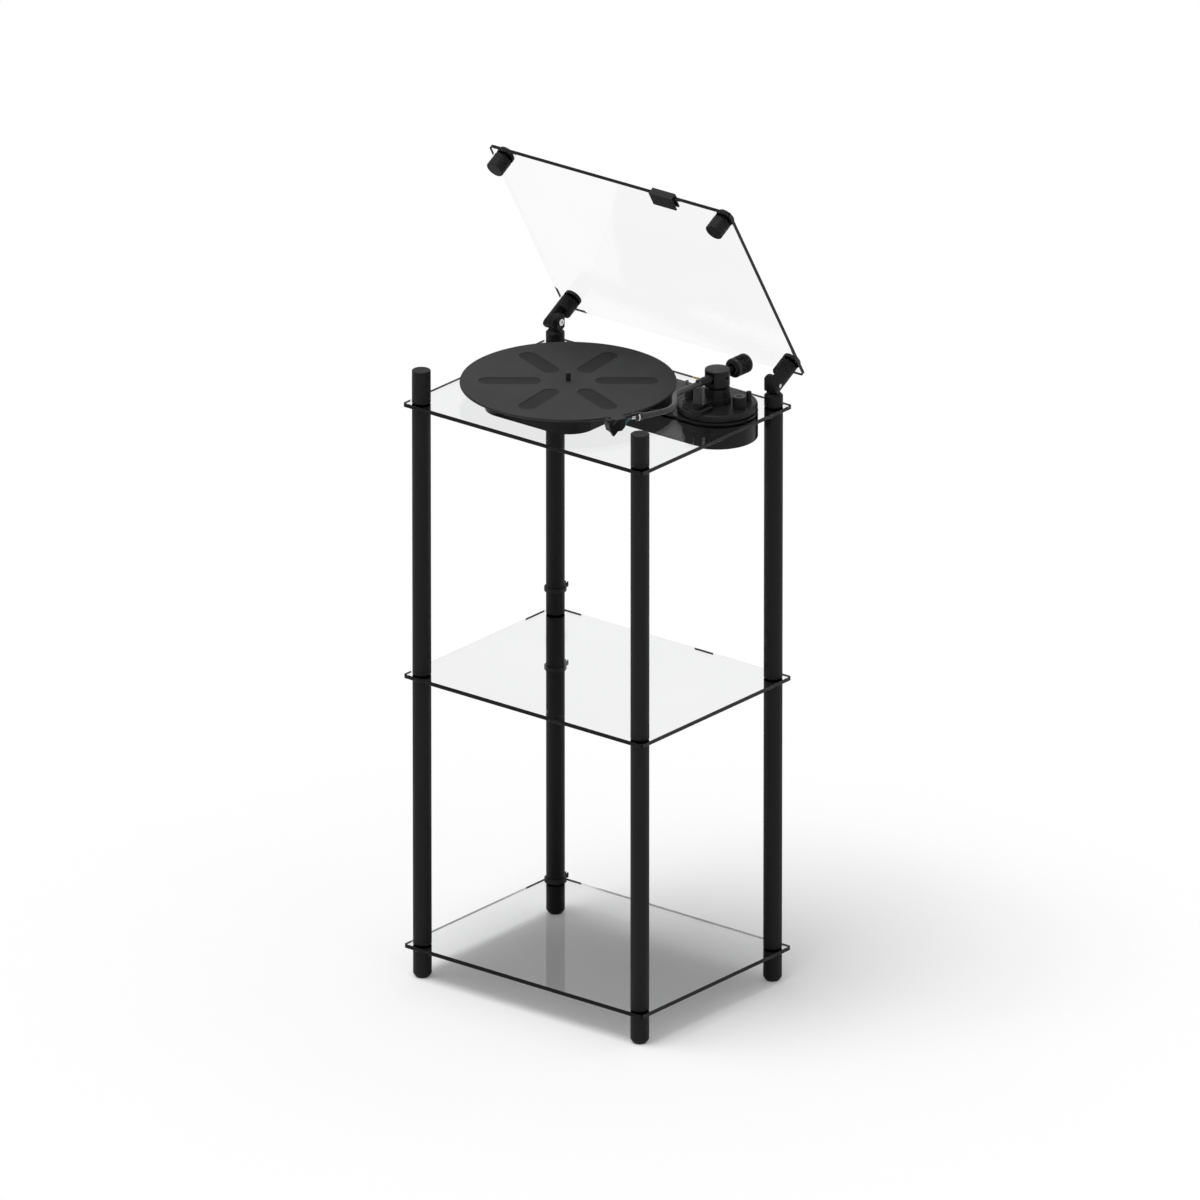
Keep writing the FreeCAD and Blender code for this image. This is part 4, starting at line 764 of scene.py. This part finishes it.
def buildWeight():
    radius, front, chamfer = weight["radius"], weight["front"], weight["chamfer"]
    end, inner = front + weight["length"], radius - weight["rimDepth"]
    rimFrom, rimTo = front + weight["rimFrom"], front + weight["rimTo"]
    body = turnedPiece("weightBody", armPivot, [
        (radius - chamfer, front), (radius, front + chamfer), (radius, rimFrom),
        (inner, rimFrom + weight["rimSlope"]), (inner, rimTo - weight["rimSlope"]),
        (radius, rimTo), (radius, end - chamfer), (radius - chamfer, end)],
        ease=0.0002, sides=128, heading=backWay)
    bored(body, weight["bore"], dialRing["front"], weight["bottom"])
    dress(body, "counterweight", "weight", weightCoat, "counterweight")
    ribs = ribbedRing("weightRibs", radius - weight["ribInset"],
                      rimFrom + weight["ribMargin"], rimTo - weight["ribMargin"],
                      weight["ribs"], weight["ribDepth"])
    standAt(ribs, armPivot, backWay)
    bored(ribs, weight["ribBore"], front, weight["bottom"])
    dress(ribs, "counterweight", "weight", weightCoat)
    radius, ringFront, chamfer = dialRing["radius"], dialRing["front"], dialRing["chamfer"]
    ring = turnedPiece("weightDial", armPivot, [
        (radius - chamfer, ringFront), (radius, ringFront + chamfer),
        (radius, ringFront + dialRing["length"])], ease=0.0002, heading=backWay)
    bored(ring, dialRing["bore"], ringFront - dialRing["boreMargin"],
          front + dialRing["boreMargin"])
    dress(ring, "weight_sleeve", "headshell", blackMetal)
    marks = tickMarks("weightMarks", armPivot + Vector((0, ringFront - dialRing["tickSink"], 0)),
                      backWay, radius - dialRing["tickInset"], dialRing["ticks"],
                      dialRing["tickSize"])
    dress(marks, "weight_sleeve", "headshell", markPaint)


def buildSkateDial():
    base = Vector((skate["x"], skate["y"], levels["flange"] + skate["gap"]))
    top, hub = skate["height"] - skate["gap"], skate["hub"]
    inner = skate["radius"] - skate["bodyInset"]
    body = turnedPiece("skateBody", base, [
        (skate["stem"], -skate["stemDepth"]), (skate["stem"], 0), (inner, 0),
        (inner, top - skate["shoulder"]), (skate["radius"] - skate["shoulder"], top)],
        ease=0.0002)
    dress(body, "skate_dial", "arm_base", armCoat, "skate_dial")
    ribs = ribbedRing("skateRibs", skate["radius"], skate["ribFrom"], top - skate["ribMargin"],
                      skate["ribs"], skate["ribDepth"])
    dress(standAt(ribs, base), "skate_dial", "arm_base", armCoat)
    face = turnedPiece("skateFace", base + Vector((0, 0, top - skate["faceSink"])), [
        (skate["face"], 0), (skate["face"], skate["faceHeight"]), (hub, skate["faceHeight"]),
        (hub, skate["hubHeight"]), (hub - skate["hubChamfer"], skate["hubTop"])], ease=0.0001)
    dress(face, "skate_dial", "arm_base", dialPaint)
    marks = tickMarks("skateMarks", base + Vector((0, 0, top + skate["tickRise"])), upWay,
                      skate["tickRadius"], skate["ticks"], skate["tickSize"])
    dress(marks, "skate_dial", "arm_base", markPaint)


buildWeight()
buildSkateDial()
print("counterweight and skating dial made")

# the tonearm's collar and small knob, and the bright ring, pins and leads at the headshell
collar = {"steps": [(0.0062, 0.0191), (0.0062, 0.0235), (0.0053, 0.024), (0.0053, 0.0265),
                    (0.0062, 0.027), (0.0062, 0.031), (0.005, 0.0318), (0.005, 0.0375)]}
knob = {"at": 0.0435, "rise": 0.003, "steps": [(0.0026, 0), (0.0026, 0.0026), (0.0018, 0.0034)]}
shell = {"radius": 0.0052, "back": 0.006, "front": 0.004, "chamfer": 0.0006,
         "frontChamfer": 0.0004, "groove": 0.0006, "slope": 0.0003, "ringFrom": -0.0012,
         "ringTo": 0.0012, "ringSink": 0.0003, "ringRise": 0.0002}
shellPin = {"from": 0.0038, "to": 0.011, "radius": 0.0012, "spread": 0.0028, "rise": 0.0011}
# a lead starts inside its pin, droops and ends in the cartridge's back; pulls shape the curve
wire = {"radius": 0.0008, "resolution": 3, "overlap": 0.0006, "cartridge": 0.0244,
        "drop": 0.0065, "outerPull": 0.002, "startPull": 0.003, "rowPull": 0.0015,
        "startDroop": 0.009, "endPull": 0.006, "endDroop": 0.0036}
spine = {"from": -0.0016, "to": 0.012, "width": 0.0055, "height": 0.0017, "rise": 0.0055,
         "ease": 0.0004}


def buildArmDetails():
    piece = turnedPiece("armCollar", armPivot, collar["steps"], sides=64, heading=forwardWay)
    dress(piece, "tonearm", "arm_tube", armCoat)
    bump = turnedPiece("armBump", armPivot + Vector((0, -knob["at"], knob["rise"])),
                       knob["steps"], ease=0.0002, sides=32)
    dress(bump, "tonearm", "arm_tube", armCoat)
    radius, slope = shell["radius"], shell["slope"]
    ringFrom, ringTo, inner = shell["ringFrom"], shell["ringTo"], radius - shell["groove"]
    sleeve = turnedPiece("shellCollar", shellStart, [
        (radius - shell["chamfer"], -shell["back"]), (radius, -shell["back"] + shell["chamfer"]),
        (radius, ringFrom - slope), (inner, ringFrom), (inner, ringTo), (radius, ringTo + slope),
        (radius, shell["front"] - shell["frontChamfer"]),
        (radius - shell["frontChamfer"], shell["front"])],
        ease=0.0002, sides=64, heading=tailWay)
    dress(sleeve, "tonearm", "arm_collar", blackMetal, "shell_collar")
    low, high = radius - shell["ringSink"], radius + shell["ringRise"]
    ring = turnedPiece("brightRing", shellStart, [
        (low, ringFrom), (high, ringFrom + slope), (high, ringTo - slope), (low, ringTo)],
        ease=0.0001, sides=64, heading=tailWay)
    dress(ring, "tonearm", "arm_collar", brightSteel)


def buildLeads():
    # four pins in the collar's front face, and the leads that run from them to the cartridge
    sideWay = Vector((-tailWay.y, tailWay.x, 0))
    for index, finish in enumerate((whiteLead, tealLead, whiteLead, tealLead)):
        row, column = index // 2, index % 2
        across, rise = (column - 0.5) * shellPin["spread"], (0.5 - row) * shellPin["spread"]
        place = shellStart + sideWay * across + Vector((0, 0, shellPin["rise"] + rise))
        pinPiece = turnedPiece(f"shellPin{index + 1}", place, [
            (shellPin["radius"], shellPin["from"]), (shellPin["radius"], shellPin["to"])],
            ease=0.0001, sides=24, heading=tailWay)
        dress(pinPiece, "tonearm", "arm_collar", brightSteel)
        deselectAll()
        bpy.ops.curve.primitive_bezier_curve_add(radius=1)
        lead = bpy.context.object
        lead.name = f"shellLead{index + 1}"
        first, last = lead.data.splines[0].bezier_points
        first.co = place + tailWay * (shellPin["to"] - wire["overlap"])
        first.handle_left = first.co - tailWay * wire["outerPull"]
        first.handle_right = (first.co - tailWay * (wire["startPull"] + wire["rowPull"] * row)
                              - Vector((0, 0, wire["startDroop"])))
        last.co = place + tailWay * wire["cartridge"] - Vector((0, 0, wire["drop"]))
        last.handle_left = (last.co - tailWay * wire["endPull"]
                            - Vector((0, 0, wire["endDroop"])))
        last.handle_right = last.co + tailWay * wire["outerPull"]
        lead.data.bevel_depth = wire["radius"]
        lead.data.bevel_resolution = wire["resolution"]
        lead.data.use_fill_caps = True
        bpy.ops.object.convert(target="MESH")
        pick(lead)
        bpy.ops.object.transform_apply(location=True, rotation=True, scale=True)
        bpy.ops.object.shade_smooth()
        dress(lead, "tonearm", "clip_plastic", finish)


def buildSpine():
    # the headshell's narrow back end, which lies over the top of the bright ring
    length = spine["to"] - spine["from"]
    deselectAll()
    bpy.ops.mesh.primitive_cube_add(size=1, scale=(spine["width"], spine["height"], length),
                                    location=(0, spine["rise"], spine["from"] + length / 2))
    piece = bpy.context.object
    piece.name = "shellSpine"
    bpy.ops.object.transform_apply(location=True, rotation=True, scale=True)
    easeEdges(piece, spine["ease"])
    dress(standAt(piece, shellStart, tailWay), "tonearm", "headshell", shellMetal)


buildArmDetails()
buildLeads()
buildSpine()
print("tonearm details made")

# lid fittings
fitting = {"radius": 0.013, "discThickness": 0.005, "discChamfer": 0.0006, "lidTop": 0.0435,
           "washer": 0.0005, "knobFrom": 0.0158, "knobTo": 0.037, "knobChamfer": 0.0008}


def buildLidFittings():
    radius = fitting["radius"]
    discs = []
    for y in (-2 * postY, 0):
        for x in (-postX, postX):
            at = lidPoint(x, y, fitting["lidTop"] + fitting["washer"])
            discs.append(turnedPiece("disc", at, [
                (radius, 0), (radius, fitting["discThickness"] - fitting["discChamfer"]),
                (radius - fitting["discChamfer"], fitting["discThickness"])],
                ease=0.0002, heading=lidNormal))
    dress(joined("lidDiscs", discs), "lid", "posts", postCoat, "lid_discs")
    knobs = []
    for x in (-postX, postX):
        knobs.append(turnedPiece("knob", lidPoint(x, -2 * postY, fitting["knobFrom"]), [
            (radius - fitting["knobChamfer"], 0), (radius, fitting["knobChamfer"]),
            (radius, fitting["knobTo"] - fitting["knobFrom"])], heading=lidNormal))
    dress(joined("lidKnobs", knobs), "lid", "posts", postCoat, "lid_knobs")


pin = {"face": 0.010, "reach": 0.022, "shank": 0.003, "head": 0.005, "headDepth": 0.0015,
       "chamfer": 0.0003, "socket": 0.0022, "socketDepth": 0.0009}


def buildHingePins():
    # pins with hexagon-socket heads on the inner faces of the hinges
    pins = []
    for across in (-1, 1):
        inner = Vector((across * (postX - pin["face"]), postY, levels["hinge"]))
        body = turnedPiece("pin", (0, 0, 0), [
            (pin["shank"], -pin["reach"]), (pin["shank"], 0), (pin["head"], 0),
            (pin["head"], pin["headDepth"] - pin["chamfer"]),
            (pin["head"] - pin["chamfer"], pin["headDepth"])], ease=0, sides=64)
        socket = plainBar("cutter", pin["socket"], pin["headDepth"] - pin["socketDepth"],
                          pin["headDepth"] + pin["socketDepth"], sides=6)
        pins.append(standAt(cutWith(body, socket), inner, (-across, 0, 0)))
    dress(joined("hingePins", pins), "stand", "fasteners", brightSteel, "hinge_pins")


buildLidFittings()
buildHingePins()
print("lid fittings made")

# CAD nodes that stay as they are and only get a finish
cadFinishes = {
    "foot_pads": blackRubber, "shelf_studs": brightSteel, "shelf_washers": blackRubber,
    "lid_washers": blackRubber, "cover_screws": brightSteel,
    "signal_sockets": turnedBrass, "power_inlet": mattePlastic, "platter_bearing": turnedBrass,
    "motor": drawnSteel, "motor_pulley": drawnSteel, "drive_belt": blackRubber,
    "platter_hub": blackMetal, "weight_sleeve": blackMetal,
}
for node, finish in cadFinishes.items():
    nodes[node].data.materials.clear()
    nodes[node].data.materials.append(finish)
print("CAD nodes finished")
